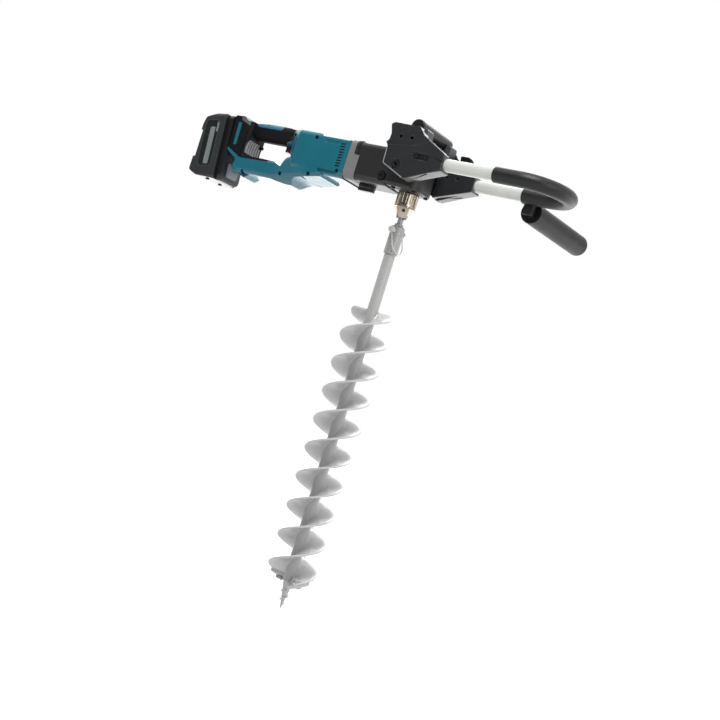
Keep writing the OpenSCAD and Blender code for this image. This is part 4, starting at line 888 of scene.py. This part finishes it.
    def _front_rim(self) -> None:
        """Thicker band where the barrel meets the ring."""
        outline = rectangle(self.front - self.rim_len, self.front, -FAR, FAR)
        shape = self._layer("housing", outline, (0.0, FAR), swell(self.barrel_axis, self.growth))
        self.bench.piece("barrel_rim", self.bench.soften(shape, self.rim_edge), BODY, "teal_plastic")

    def _rear_strips(self) -> None:
        """Teal strip let into each flank of the rear block."""
        shape = self.bench.soften(slab(self.strip, *self.strip_reach, self.strip_round), self.fine_edge)
        self.bench.piece("rear_strips", both_sides(shape), BODY, "teal_plastic")

    def _grip_inlay(self) -> None:
        """Teal inlay on each shoulder of the grip, with a sunk screw."""
        shape = self._layer("grip_skin", self.inlay, self.inlay_reach,
                            swell(self.grip_axis, self.inlay_growth), self.inlay_round)
        self.bench.piece("grip_inlays", self.bench.soften(shape, self.fine_edge), BODY, "teal_plastic")
        recess = lathe(self.screw_profile, self.screw_place, Along.Y, SMALL_STEPS)
        self.bench.piece("inlay_screws", both_sides(recess), BODY, "black_and_painted_shade", "black_plastic")

    def _saddle(self) -> None:
        """Pale saddle behind the grip, over the rear block."""
        shape = self._layer("grip_skin", self.saddle, self.saddle_reach, swell(self.grip_axis, self.growth))
        shape = self.bench.soften(shape, self.saddle_edge)
        self.bench.piece("rear_saddle", shape, BODY, "saddle_grey", "grey_plastic")

    def _pad(self) -> None:
        """Ribbed pad on the rear wall of the hand opening, with a small stud."""
        forward = Vector(Along.X.value)
        back = self._layer("grip_skin", self.pad, (0.0, self.pad_half),
                           Matrix.Translation(forward * self.pad_proud))
        self.bench.piece("palm_pad", back, BODY, "pad_dark", "grey_plastic")
        lift = Matrix.Translation(forward * self.rib_proud)
        ribs = []
        for i in range(int(self.pad_half // self.rib_pitch)):
            middle = (i + 0.5) * self.rib_pitch
            reach = (middle - self.rib_wide / 2.0, middle + self.rib_wide / 2.0)
            ribs.append(self._layer("grip_skin", self.pad, reach, lift))
        self.bench.piece("palm_ribs", gather(*ribs), BODY, "pad_pale", "grey_plastic")
        stud = lathe(self.stud_profile, self.stud_place, Along.X, SMALL_STEPS)
        self.bench.piece("palm_stud", stud, BODY, "black_and_painted_shade", "black_plastic")


@dataclass
class BatteryPack:
    """Sliding battery with its cover, button, bare label and feet; places are in the leaning rail's frame."""

    bench: Bench
    body: str = "battery"
    edges: Edges = (("battery_case", 1.5), ("battery_cover", 1.2), ("battery_button", 1.5))
    rail: Point = (-434.0, 0.0, 41.0)
    rail_tilt: float = 6.0
    half: float = 40.0
    length: float = 140.0
    panel: Corners = (-62.0, -27.0, -115.0, -15.0)
    panel_round: float = 10.0
    plate: Corners = (-47.5, -35.5, -110.0, -31.0)
    plate_round: float = 3.0
    small_plate: Corners = (-32.5, -28.5, -41.0, -20.0)
    small_round: float = 1.2
    line: float = 1.3
    line_proud: float = 0.35
    film_proud: float = 0.12
    plate_proud: float = 0.3
    root: float = 0.5
    clear: float = 1.0
    foot_place: Point = (-40.0, 22.0, -136.1)
    foot: Outline = ((0.0, 0.5), (4.0, 0.5), (4.0, -1.2), (3.2, -2.0), (0.0, -2.0))
    seam_x: float = -15.0
    seam_half: float = 0.7
    seam_inset: Spot = (3.0, 5.0)
    seam_round: float = 8.0

    def build(self) -> None:
        """Make and dress the whole sub-assembly."""
        self.bench.shells(self.edges)
        self.bench.dress("battery_cells")
        self._label()
        self._feet()
        self._seam()

    def _seam(self) -> None:
        """Dark gasket between the case and its cover."""
        wide, tall = self.half - self.seam_inset[0], self.length / 2.0 - self.seam_inset[1]
        plate = slab(rectangle(-wide, wide, -tall, tall), -self.seam_half, self.seam_half, self.seam_round)
        place = Matrix.Translation((self.seam_x, 0.0, -self.length / 2.0))
        turn = Matrix.Rotation(math.radians(90.0), 4, "Z")
        bmesh.ops.transform(plate, matrix=place @ turn, verts=plate.verts)
        self.bench.piece("seam_gasket", self._lean(plate), self.body, "black_and_painted_shade", "black_plastic")

    def _lean(self, shape: BMesh) -> BMesh:
        """Move a shape from the rail's frame into the tool's."""
        turn = Matrix.Translation(self.rail) @ Matrix.Rotation(math.radians(-self.rail_tilt), 4, "Y")
        bmesh.ops.transform(shape, matrix=turn, verts=shape.verts)
        return shape

    def _flank(self, corners: Corners, proud: float, radius: float) -> BMesh:
        """Plate on each flank, standing proud of it."""
        return both_sides(slab(rectangle(*corners), self.half - self.root, self.half + proud, radius))

    def _label(self) -> None:
        """Bare label: a raised line, the film inside it and two blank plates."""
        x0, x1, z0, z1 = self.panel
        edge = self.line
        inside = (x0 + edge, x1 - edge, z0 + edge, z1 - edge)
        inner_round = self.panel_round - edge
        frame = combine(self._flank(self.panel, self.line_proud, self.panel_round),
                        self._flank(inside, self.clear, inner_round), Cut.TAKE)
        self.bench.piece("label_line", self._lean(frame), self.body, "label_line", "charcoal_plastic")
        film = self._lean(self._flank(inside, self.film_proud, inner_round))
        self.bench.piece("label_film", film, self.body, "label_film", "charcoal_plastic")
        plates = gather(self._flank(self.plate, self.plate_proud, self.plate_round),
                        self._flank(self.small_plate, self.plate_proud, self.small_round))
        self.bench.piece("label_plates", self._lean(plates), self.body, "label_plate", "grey_plastic")

    def _feet(self) -> None:
        """Small feet under the pack."""
        feet = both_sides(lathe(self.foot, self.foot_place, Along.Z, SMALL_STEPS))
        self.bench.piece("battery_feet", self._lean(feet), self.body, "black_and_painted_shade", "black_plastic")


@dataclass
class GearHead:
    """Ring plate, gear case, underside cover and speed knob."""

    bench: Bench
    edges: Edges = (("gear_case", 1.2), ("bearing_plate", 1.0), ("bearing_cover", 0.7), ("case_bolts", 0.7),
                    ("speed_knob", 1.2))
    ring_front: float = -113.0
    lap: float = 6.0
    lap_bottom: float = 5.0
    tongue_top: float = 4.0
    tongue_root: float = 0.2
    axis: Spot = (0.0, -5.0)
    growth: float = 1.02

    def build(self) -> None:
        """Make and dress the whole sub-assembly."""
        self.bench.shells(self.edges)
        self.bench.dress("cover_screws")
        front, shift = self.ring_front, swell(self.axis, self.growth)
        window = block((front - self.lap, -FAR, self.lap_bottom), (front, FAR, FAR))
        self.bench.piece("case_lap", self.bench.patch("bearing_plate", window, shift), BODY, "case_alloy")
        window = block((front - self.tongue_root, -FAR, -FAR), (front + self.lap, FAR, self.tongue_top))
        self.bench.piece("ring_tongue", self.bench.patch("gear_case", window, shift), BODY, "ring_alloy")


@dataclass
class HandleHolder:
    """Two holder plates with their screws, the carry bar across them and the key clip."""

    bench: Bench
    edges: Edges = (("key_clip", 1.0), ("holder_screws", 0.7), ("clamp_bolts", 0.5))
    plate_edge: float = 1.3
    bracket_edge: float = 1.5
    outer: float = 82.0
    step: float = 0.7
    clear: float = 20.0
    upper: Outline = ((-60.0, 24.0), (-30.0, 25.0), (29.0, 32.0), (55.0, 43.0), (90.0, 60.0), (90.0, 95.0),
                      (-60.0, 95.0))
    # Outline and reach of the pale strip on the plates' edge, a painted highlight.
    rim: Outline = ((-26.0, 22.0), (-24.9, -8.0), (-23.0, -10.9), (24.0, -31.8), (24.7, -30.4), (-22.2, -9.6),
                    (-23.4, -7.8), (-24.6, 22.0))
    rim_highlight_reach: Spot = (81.0, 82.2)
    bolt_xs: Spot = (39.0, 63.0)
    bolt_z: float = 14.0
    recess_r: float = 6.45
    recess_round: float = 6.4
    # Y reach of the dark sheet of painted shade in each recess.
    shade_sheet_reach: Spot = (78.5, 79.15)
    carry: Point = (12.0, 0.0, 75.0)
    carry_r: float = 14.5
    carry_half: float = 61.5
    cap_len: float = 4.0

    def build(self) -> None:
        """Make and dress the whole sub-assembly."""
        for node, side in (("holder_right", -1.0), ("holder_left", 1.0)):
            self._plate(node, side)
        # The brackets' lighter alloy is painted light.
        self.bench.shell("carry_brackets", self.bracket_edge, 3, "bracket_painted_lit")
        self.bench.shells(self.edges)
        self.bench.dress("carry_core")
        # Pale strips along the plates' edges are a painted edge highlight.
        rim_highlights = both_sides(slab(self.rim, *self.rim_highlight_reach))
        self.bench.piece("holder_rim_highlights", rim_highlights, BODY, "painted_rim_highlight", "holder_alloy")
        self._recess_shade_sheet()
        self._carry_bar()

    def _plate(self, node: str, side: float) -> None:
        """Holder plate whose upper part is a little lower than the rest."""
        low, high = sorted((side * (self.outer - self.step), side * (self.outer + self.clear)))
        shape = combine(self.bench.copy(node), slab(self.upper, low, high), Cut.TAKE)
        self.bench.stand_in(node, self.bench.soften(shape, self.plate_edge))

    def _recess_shade_sheet(self) -> None:
        """Painted shade: a dark sheet on the floor of the long recess that the clamp bolts sit in."""
        first, last = self.bolt_xs
        r = self.recess_r
        corners = rectangle(first - r, last + r, self.bolt_z - r, self.bolt_z + r)
        shade_sheet = both_sides(slab(corners, *self.shade_sheet_reach, self.recess_round))
        self.bench.piece("recess_shade_sheets", shade_sheet, BODY, "black_and_painted_shade", "holder_alloy")

    def _carry_bar(self) -> None:
        """Rubber sleeve with a glossy cap at each end."""
        half, r = self.carry_half, self.carry_r
        gap = half - self.cap_len
        sleeve = lathe(((0.0, -gap), (r - 1.2, -gap), (r, 1.2 - gap), (r, gap - 1.2), (r - 1.2, gap),
                        (0.0, gap)), self.carry, Along.Y)
        self.bench.stand_in("carry_sleeve", sleeve, "foam_rubber")
        cap = lathe(((0.0, gap), (r - 0.6, gap), (r - 0.1, gap + 0.6), (r - 0.1, half - 2.2),
                     (r - 0.8, half - 0.7), (r - 2.3, half), (0.0, half)), self.carry, Along.Y)
        self.bench.piece("carry_caps", both_sides(cap), BODY, "black_plastic")


@dataclass
class FrontLoop:
    """Bent tube with its foam grip, and the reaction bar on its left leg."""

    bench: Bench
    half: float = 66.0
    height: float = 10.0
    bend_x: float = 252.0
    bend_steps: int = 32
    tube_r: float = 12.25
    tube_start: float = 34.0
    tube_edge: float = 0.6
    grip_r: float = 15.0
    grip_start: float = 201.0
    grip_edge: float = 2.0
    lug_edge: float = 1.5
    bar: Point = (215.0, 0.0, -14.0)
    bar_r: float = 21.5
    bar_reach: Spot = (86.0, 330.0)

    def build(self) -> None:
        """Make and dress the whole sub-assembly."""
        self.bench.stand_in("loop_tube", hose(self._route(self.tube_start, self.tube_r, self.tube_edge)))
        grip = hose(self._route(self.grip_start, self.grip_r, self.grip_edge))
        self.bench.stand_in("loop_grip", grip, "foam_rubber")
        self.bench.shell("bar_lug", self.lug_edge)
        self.bench.stand_in("bar_tube", self.bench.copy("bar_tube"), "bolt_steel")
        start, end = self.bar_reach
        r = self.bar_r
        profile = ((0.0, start), (r - 2.0, start), (r - 0.6, start + 0.6), (r, start + 2.0), (r, end - 5.0),
                   (r - 0.7, end - 2.5), (r - 2.5, end - 0.7), (r - 5.0, end), (0.0, end))
        sleeve = lathe(profile, self.bar, Along.Y)
        self.bench.stand_in("bar_sleeve", sleeve, "pad_rubber")

    def _route(self, start: float, radius: float, edge: float) -> list[tuple[Matrix, float]]:
        """Rings along a leg, around the bend and back.

        Args:
            start: X where both legs begin.
            radius: radius of the bar.
            edge: rounding of its ends.

        Returns:
            Frame and radius of each ring.
        """
        lay = Matrix.Rotation(math.radians(90.0), 4, "Y")
        leg = [(start, radius - edge), (start + 0.3 * edge, radius - 0.3 * edge), (start + edge, radius),
               (self.bend_x, radius)]
        rings = [(Matrix.Translation((x, -self.half, self.height)) @ lay, r) for x, r in leg]
        pivot = Matrix.Translation((self.bend_x, 0.0, self.height))
        arm = Matrix.Translation((0.0, -self.half, 0.0)) @ lay
        for i in range(1, self.bend_steps):
            rings.append((pivot @ Matrix.Rotation(math.pi * i / self.bend_steps, 4, "Z") @ arm, radius))
        back = Matrix.Rotation(math.pi, 4, "Z") @ lay
        rings += [(Matrix.Translation((x, self.half, self.height)) @ back, r) for x, r in reversed(leg)]
        return rings


@dataclass
class Chuck:
    """Keyed chuck with its jaws."""

    bench: Bench
    edge: float = 0.4
    sleeve_bottom: float = -71.8
    nose: Outline = ((0.0, -22.0), (8.4, -22.0), (9.0, -20.0), (10.6, -17.5), (12.4, -13.5), (14.0, -8.5),
                     (15.2, -3.5), (15.8, 0.0), (17.0, 0.1), (17.0, 32.0), (0.0, 32.0))
    # Ring behind the teeth that shows as painted shade in the gaps.
    gap_shade: Outline = ((17.75, 0.1), (18.15, 0.1), (18.15, 2.9), (17.75, 2.9), (17.75, 0.1))

    def build(self) -> None:
        """Make and dress the whole sub-assembly."""
        bottom = (0.0, 0.0, self.sleeve_bottom)
        body = combine(self.bench.copy("chuck_body"), lathe(self.nose, bottom, Along.Z), Cut.KEEP)
        self.bench.stand_in("chuck_body", self.bench.soften(body, self.edge))
        self.bench.shell("chuck_sleeve", self.edge)
        self.bench.dress("chuck_jaw_1", "chuck_jaw_2", "chuck_jaw_3")
        # Dark ring behind the sleeve's teeth: painted shade in the gaps between them.
        shade_sheet = lathe(self.gap_shade, bottom, Along.Z)
        self.bench.piece("tooth_gap_shade", shade_sheet, "chuck_sleeve", "gap_shade_dark", "chuck_nickel")


@dataclass
class AugerBit:
    """Adapter, stem, two flights with their cutters, and the pilot."""

    bench: Bench
    body: str = "bit"
    fitting_edge: float = 0.7
    pilot_edge: float = 0.3
    stem_r: float = 10.75
    rim: float = 47.0
    thick: float = 4.0
    lead: float = 110.0
    turns: float = 4.7
    start: float = 31.0
    top: float = -276.8
    first_rim: float = 0.72
    rim_turns: float = 0.12
    root: float = 2.0
    bead_start: float = 4.0
    bead_short: float = 0.03
    bead_sink: float = 0.4
    cutter_turns: Spot = (4.6, 4.74)
    cutter_radii: Spot = (14.0, 47.6)
    cutter_heights: Spot = (-7.0, -1.8)
    cutter_edge: float = 0.6
    bolt_radii: Spot = (25.0, 38.0)
    bolt_heights: Spot = (3.5, -8.5)
    bolt_r: float = 5.0
    bolt_len: float = 4.0
    bolt_edge: float = 0.5

    def build(self) -> None:
        """Make and dress the whole sub-assembly."""
        self.bench.shell("bit_adapter", self.fitting_edge)
        self.bench.shell("lock_pin", self.fitting_edge, 2, "wire_steel")
        self.bench.shell("pilot_screw", self.pilot_edge)
        self.bench.stand_in("auger_stem", self.bench.copy("auger_stem"), "stem_grey")
        self.bench.stand_in("pin_bail", self.bench.copy("pin_bail"), "wire_steel")
        starts = (self.start, self.start + 180.0)
        self.bench.stand_in("auger_flight", gather(*[self._flight(angle) for angle in starts]))
        welded = {"flight_welds": [self._bead(angle, side) for angle in starts for side in (-1.0, 1.0)],
                  "cutters": [self._cutter(angle) for angle in starts],
                  "cutter_bolts": [self._bolt(angle, r) for angle in starts for r in self.bolt_radii]}
        for name, shapes in welded.items():
            self.bench.piece(name, gather(*shapes), self.body, "weld_grey", "auger_grey")

    def _flight(self, angle: float) -> BMesh:
        """One flight, its outer edge eased and its first corner rounded."""
        half, rim, inner = self.thick / 2.0, self.rim, self.stem_r + 0.1
        section = ((inner, -half), (rim - 12.0, -half), (rim - 1.2, -half), (rim - 0.3, -half + 0.9),
                   (rim - 0.3, half - 0.9), (rim - 1.2, half), (rim - 12.0, half), (inner, half))
        shape = coil(section, angle, self.top, self.turns, self.lead)
        for vert in shape.verts:
            turn = self._turn_of(vert.co, angle)
            if turn < self.rim_turns and vert.co.to_2d().length > self.stem_r + self.root:
                share = self.first_rim + (1.0 - self.first_rim) * math.sqrt(max(0.0, turn) / self.rim_turns)
                vert.co.x *= share
                vert.co.y *= share
        return shape

    def _turn_of(self, spot: Vector, angle: float) -> float:
        """Turns from a flight's start down to a point on it."""
        part = (math.radians(angle) - math.atan2(spot.y, spot.x)) / (2.0 * math.pi)
        drop = (self.top - spot.z) / self.lead
        return part + round(drop - part)

    def _bead(self, angle: float, side: float) -> BMesh:
        """Weld bead in the corner between the stem and one face of a flight."""
        foot = side * (self.thick / 2.0 - self.bead_sink)
        r = self.stem_r - self.bead_sink
        section = ((r, foot), (r + 3.2, foot), (r + 2.4, foot + side * 1.1), (r + 1.2, foot + side * 2.2),
                   (r, foot + side * 3.0))
        return coil(section, angle - self.bead_start, self.top - self.lead * self.bead_start / 360.0,
                    self.turns - self.bead_short, self.lead)

    def _cutter(self, angle: float) -> BMesh:
        """Hard blade bolted under a flight's last part, with a ground edge."""
        first, last = self.cutter_turns
        inner, outer = self.cutter_radii
        low, high = self.cutter_heights
        section = ((inner, low), (outer, low), (outer, high), (inner, high))
        shape = coil(section, angle - 360.0 * first, self.top - self.lead * first, last - first, self.lead)
        return self.bench.soften(shape, self.cutter_edge)

    def _bolt(self, angle: float, radius: float) -> BMesh:
        """Hexagon bolt through a cutter and its flight."""
        turn = sum(self.cutter_turns) / 2.0
        out = bearing(angle - 360.0 * turn)
        place = Matrix.Translation(out * radius + Vector((0.0, 0.0, self.top - turn * self.lead)))
        lean = Matrix.Rotation(math.atan2(self.lead, 2.0 * math.pi * radius), 4, out)
        shape = bmesh.new()
        for height in self.bolt_heights:
            bmesh.ops.create_cone(shape, cap_ends=True, segments=6, radius1=self.bolt_r, radius2=self.bolt_r,
                                  depth=self.bolt_len,
                                  matrix=place @ lean @ Matrix.Translation((0.0, 0.0, height)))
        return self.bench.soften(shape, self.bolt_edge)


@dataclass
class InnerWorks:
    """Pieces inside the tool that show only when it is opened in thought."""

    bench: Bench
    nodes: tuple[str, ...] = (
        "switch_module", "controller", "terminal_block", "stator", "rotor", "fan", "rotor_rear_bearing",
        "rotor_front_bearing", "countershaft", "counter_rear_bearing", "counter_front_bearing", "spindle",
        "bevel_gear", "spindle_upper_bearing", "spindle_lower_bearing")

    def build(self) -> None:
        """Dress the CAD nodes as they are."""
        self.bench.dress(*self.nodes)


@dataclass
class Softbox:
    """Square area light: place and aim in metres, size in metres and power in watts."""

    name: str
    place: Point
    aim: Point
    size: float
    power: float


@dataclass
class Studio:
    """Floor, soft light and the camera at the photo's viewing angle, in metres."""

    camera_place: Point = (1.40415, -2.27396, -0.48501)
    camera_target: Point = (-0.05525, 0.09529, -0.17390)
    camera_roll: float = 17.271
    lens: float = 71.4166
    sensor: float = 36.0
    shift: Spot = (-0.03890, -0.13005)
    floor_z: float = -0.8800
    floor_radius: float = 40.0
    floor_sides: int = 96
    floor_colour: float = 0.45
    floor_roughness: float = 0.9
    floor_glow: Spot = (1.9, 0.25)
    floor_reach: Spot = (-2.8, -0.2)
    world_glow: Spot = (1.0, 0.08)
    world_reach: Spot = (0.1, 0.8)
    near_side: Point = (0.05, -0.98, 0.17)
    boxes: tuple[Softbox, ...] = (
        Softbox("key_softbox", (0.3, -1.6, 2.2), (-0.1, 0.0, 0.0), 1.4, 65.0),
        Softbox("fill_softbox", (2.4, -1.2, 0.6), (0.0, 0.0, -0.2), 1.4, 14.0),
        Softbox("back_softbox", (-1.0, 2.2, 1.4), (0.0, 0.0, -0.2), 1.8, 26.0))

    def build(self) -> None:
        """Set up the whole stage."""
        self._camera()
        self._floor()
        self._world()
        for box in self.boxes:
            self._softbox(box)
        bpy.context.scene.view_settings.view_transform = "Standard"

    def _camera(self) -> None:
        """Make the camera."""
        data = bpy.data.cameras.new("photo_camera")
        data.lens = self.lens
        data.sensor_width = self.sensor
        data.shift_x, data.shift_y = self.shift
        camera = bpy.data.objects.new("photo_camera", data)
        sight = Vector(self.camera_target) - Vector(self.camera_place)
        roll = Quaternion((0.0, 0.0, 1.0), math.radians(self.camera_roll))
        camera.rotation_mode = "QUATERNION"
        camera.rotation_quaternion = sight.to_track_quat("-Z", "Y") @ roll
        camera.location = self.camera_place
        bpy.context.scene.collection.objects.link(camera)
        bpy.context.scene.camera = camera

    def _floor(self) -> None:
        """Make the pale floor, low enough for the bit to be drawn out."""
        disc = bmesh.new()
        bmesh.ops.create_circle(disc, cap_ends=True, segments=self.floor_sides, radius=self.floor_radius,
                                matrix=Matrix.Translation((0.0, 0.0, self.floor_z)))
        mesh = bpy.data.meshes.new("floor")
        disc.to_mesh(mesh)
        disc.free()
        material = bpy.data.materials.new("pale_floor")
        material.use_nodes = True
        shader = material.node_tree.nodes["Principled BSDF"]
        shader.inputs["Base Color"].default_value = (*[self.floor_colour] * 3, 1.0)
        shader.inputs["Roughness"].default_value = self.floor_roughness
        shader.inputs["Emission Color"].default_value = WHITE
        glow = self._fade(material.node_tree, "Object", self.floor_reach, self.floor_glow)
        material.node_tree.links.new(glow, shader.inputs["Emission Strength"])
        mesh.materials.append(material)
        floor = bpy.data.objects.new("floor", mesh)
        bpy.context.scene.collection.objects.link(floor)

    def _fade(self, tree: bpy.types.NodeTree, space: str, reach: Spot, light: Spot) -> Any:
        """Strength that falls towards the near side and is plain white to the camera.

        Args:
            tree: node tree that it is made in.
            space: coordinates that it reads.
            reach: where along the near side it starts and ends to fall.
            light: strength before and after.

        Returns:
            The strength's socket.
        """
        look = tree.nodes.new("ShaderNodeTexCoord")
        dot = tree.nodes.new("ShaderNodeVectorMath")
        dot.operation = "DOT_PRODUCT"
        dot.inputs[1].default_value = self.near_side
        tree.links.new(look.outputs[space], dot.inputs[0])
        fade = tree.nodes.new("ShaderNodeMapRange")
        fade.interpolation_type = "SMOOTHSTEP"
        for name, value in zip(("From Min", "From Max", "To Min", "To Max"), (*reach, *light)):
            fade.inputs[name].default_value = value
        tree.links.new(dot.outputs["Value"], fade.inputs["Value"])
        seen = tree.nodes.new("ShaderNodeLightPath")
        strength = tree.nodes.new("ShaderNodeMix")
        strength.inputs["B"].default_value = 1.0
        tree.links.new(seen.outputs["Is Camera Ray"], strength.inputs["Factor"])
        tree.links.new(fade.outputs["Result"], strength.inputs["A"])
        return strength.outputs["Result"]

    def _world(self) -> None:
        """White surroundings that light the object gently on its near side and strongly from behind."""
        world = bpy.data.worlds.new("studio")
        world.use_nodes = True
        tree = world.node_tree
        strength = self._fade(tree, "Generated", self.world_reach, self.world_glow)
        ground = tree.nodes["Background"]
        ground.inputs["Color"].default_value = WHITE
        tree.links.new(strength, ground.inputs["Strength"])
        bpy.context.scene.world = world

    def _softbox(self, box: Softbox) -> None:
        """Area light aimed at a point and unseen by the camera."""
        data = bpy.data.lights.new(box.name, "AREA")
        data.size = box.size
        data.energy = box.power
        lamp = bpy.data.objects.new(box.name, data)
        lamp.location = box.place
        lamp.rotation_mode = "QUATERNION"
        lamp.rotation_quaternion = (Vector(box.aim) - Vector(box.place)).to_track_quat("-Z", "Y")
        lamp.visible_camera = False
        bpy.context.scene.collection.objects.link(lamp)


def main() -> None:
    """Load the frame, set up the stage, and build and dress the pieces in order."""
    logging.basicConfig(level=logging.INFO, format="%(name)s: %(message)s")
    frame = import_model()
    Studio().build()
    bench = Bench(frame)
    for assembly in (Housing, BatteryPack, GearHead, HandleHolder, FrontLoop, Chuck, AugerBit, InnerWorks):
        assembly(bench).build()


if __name__ == "__main__":
    main()
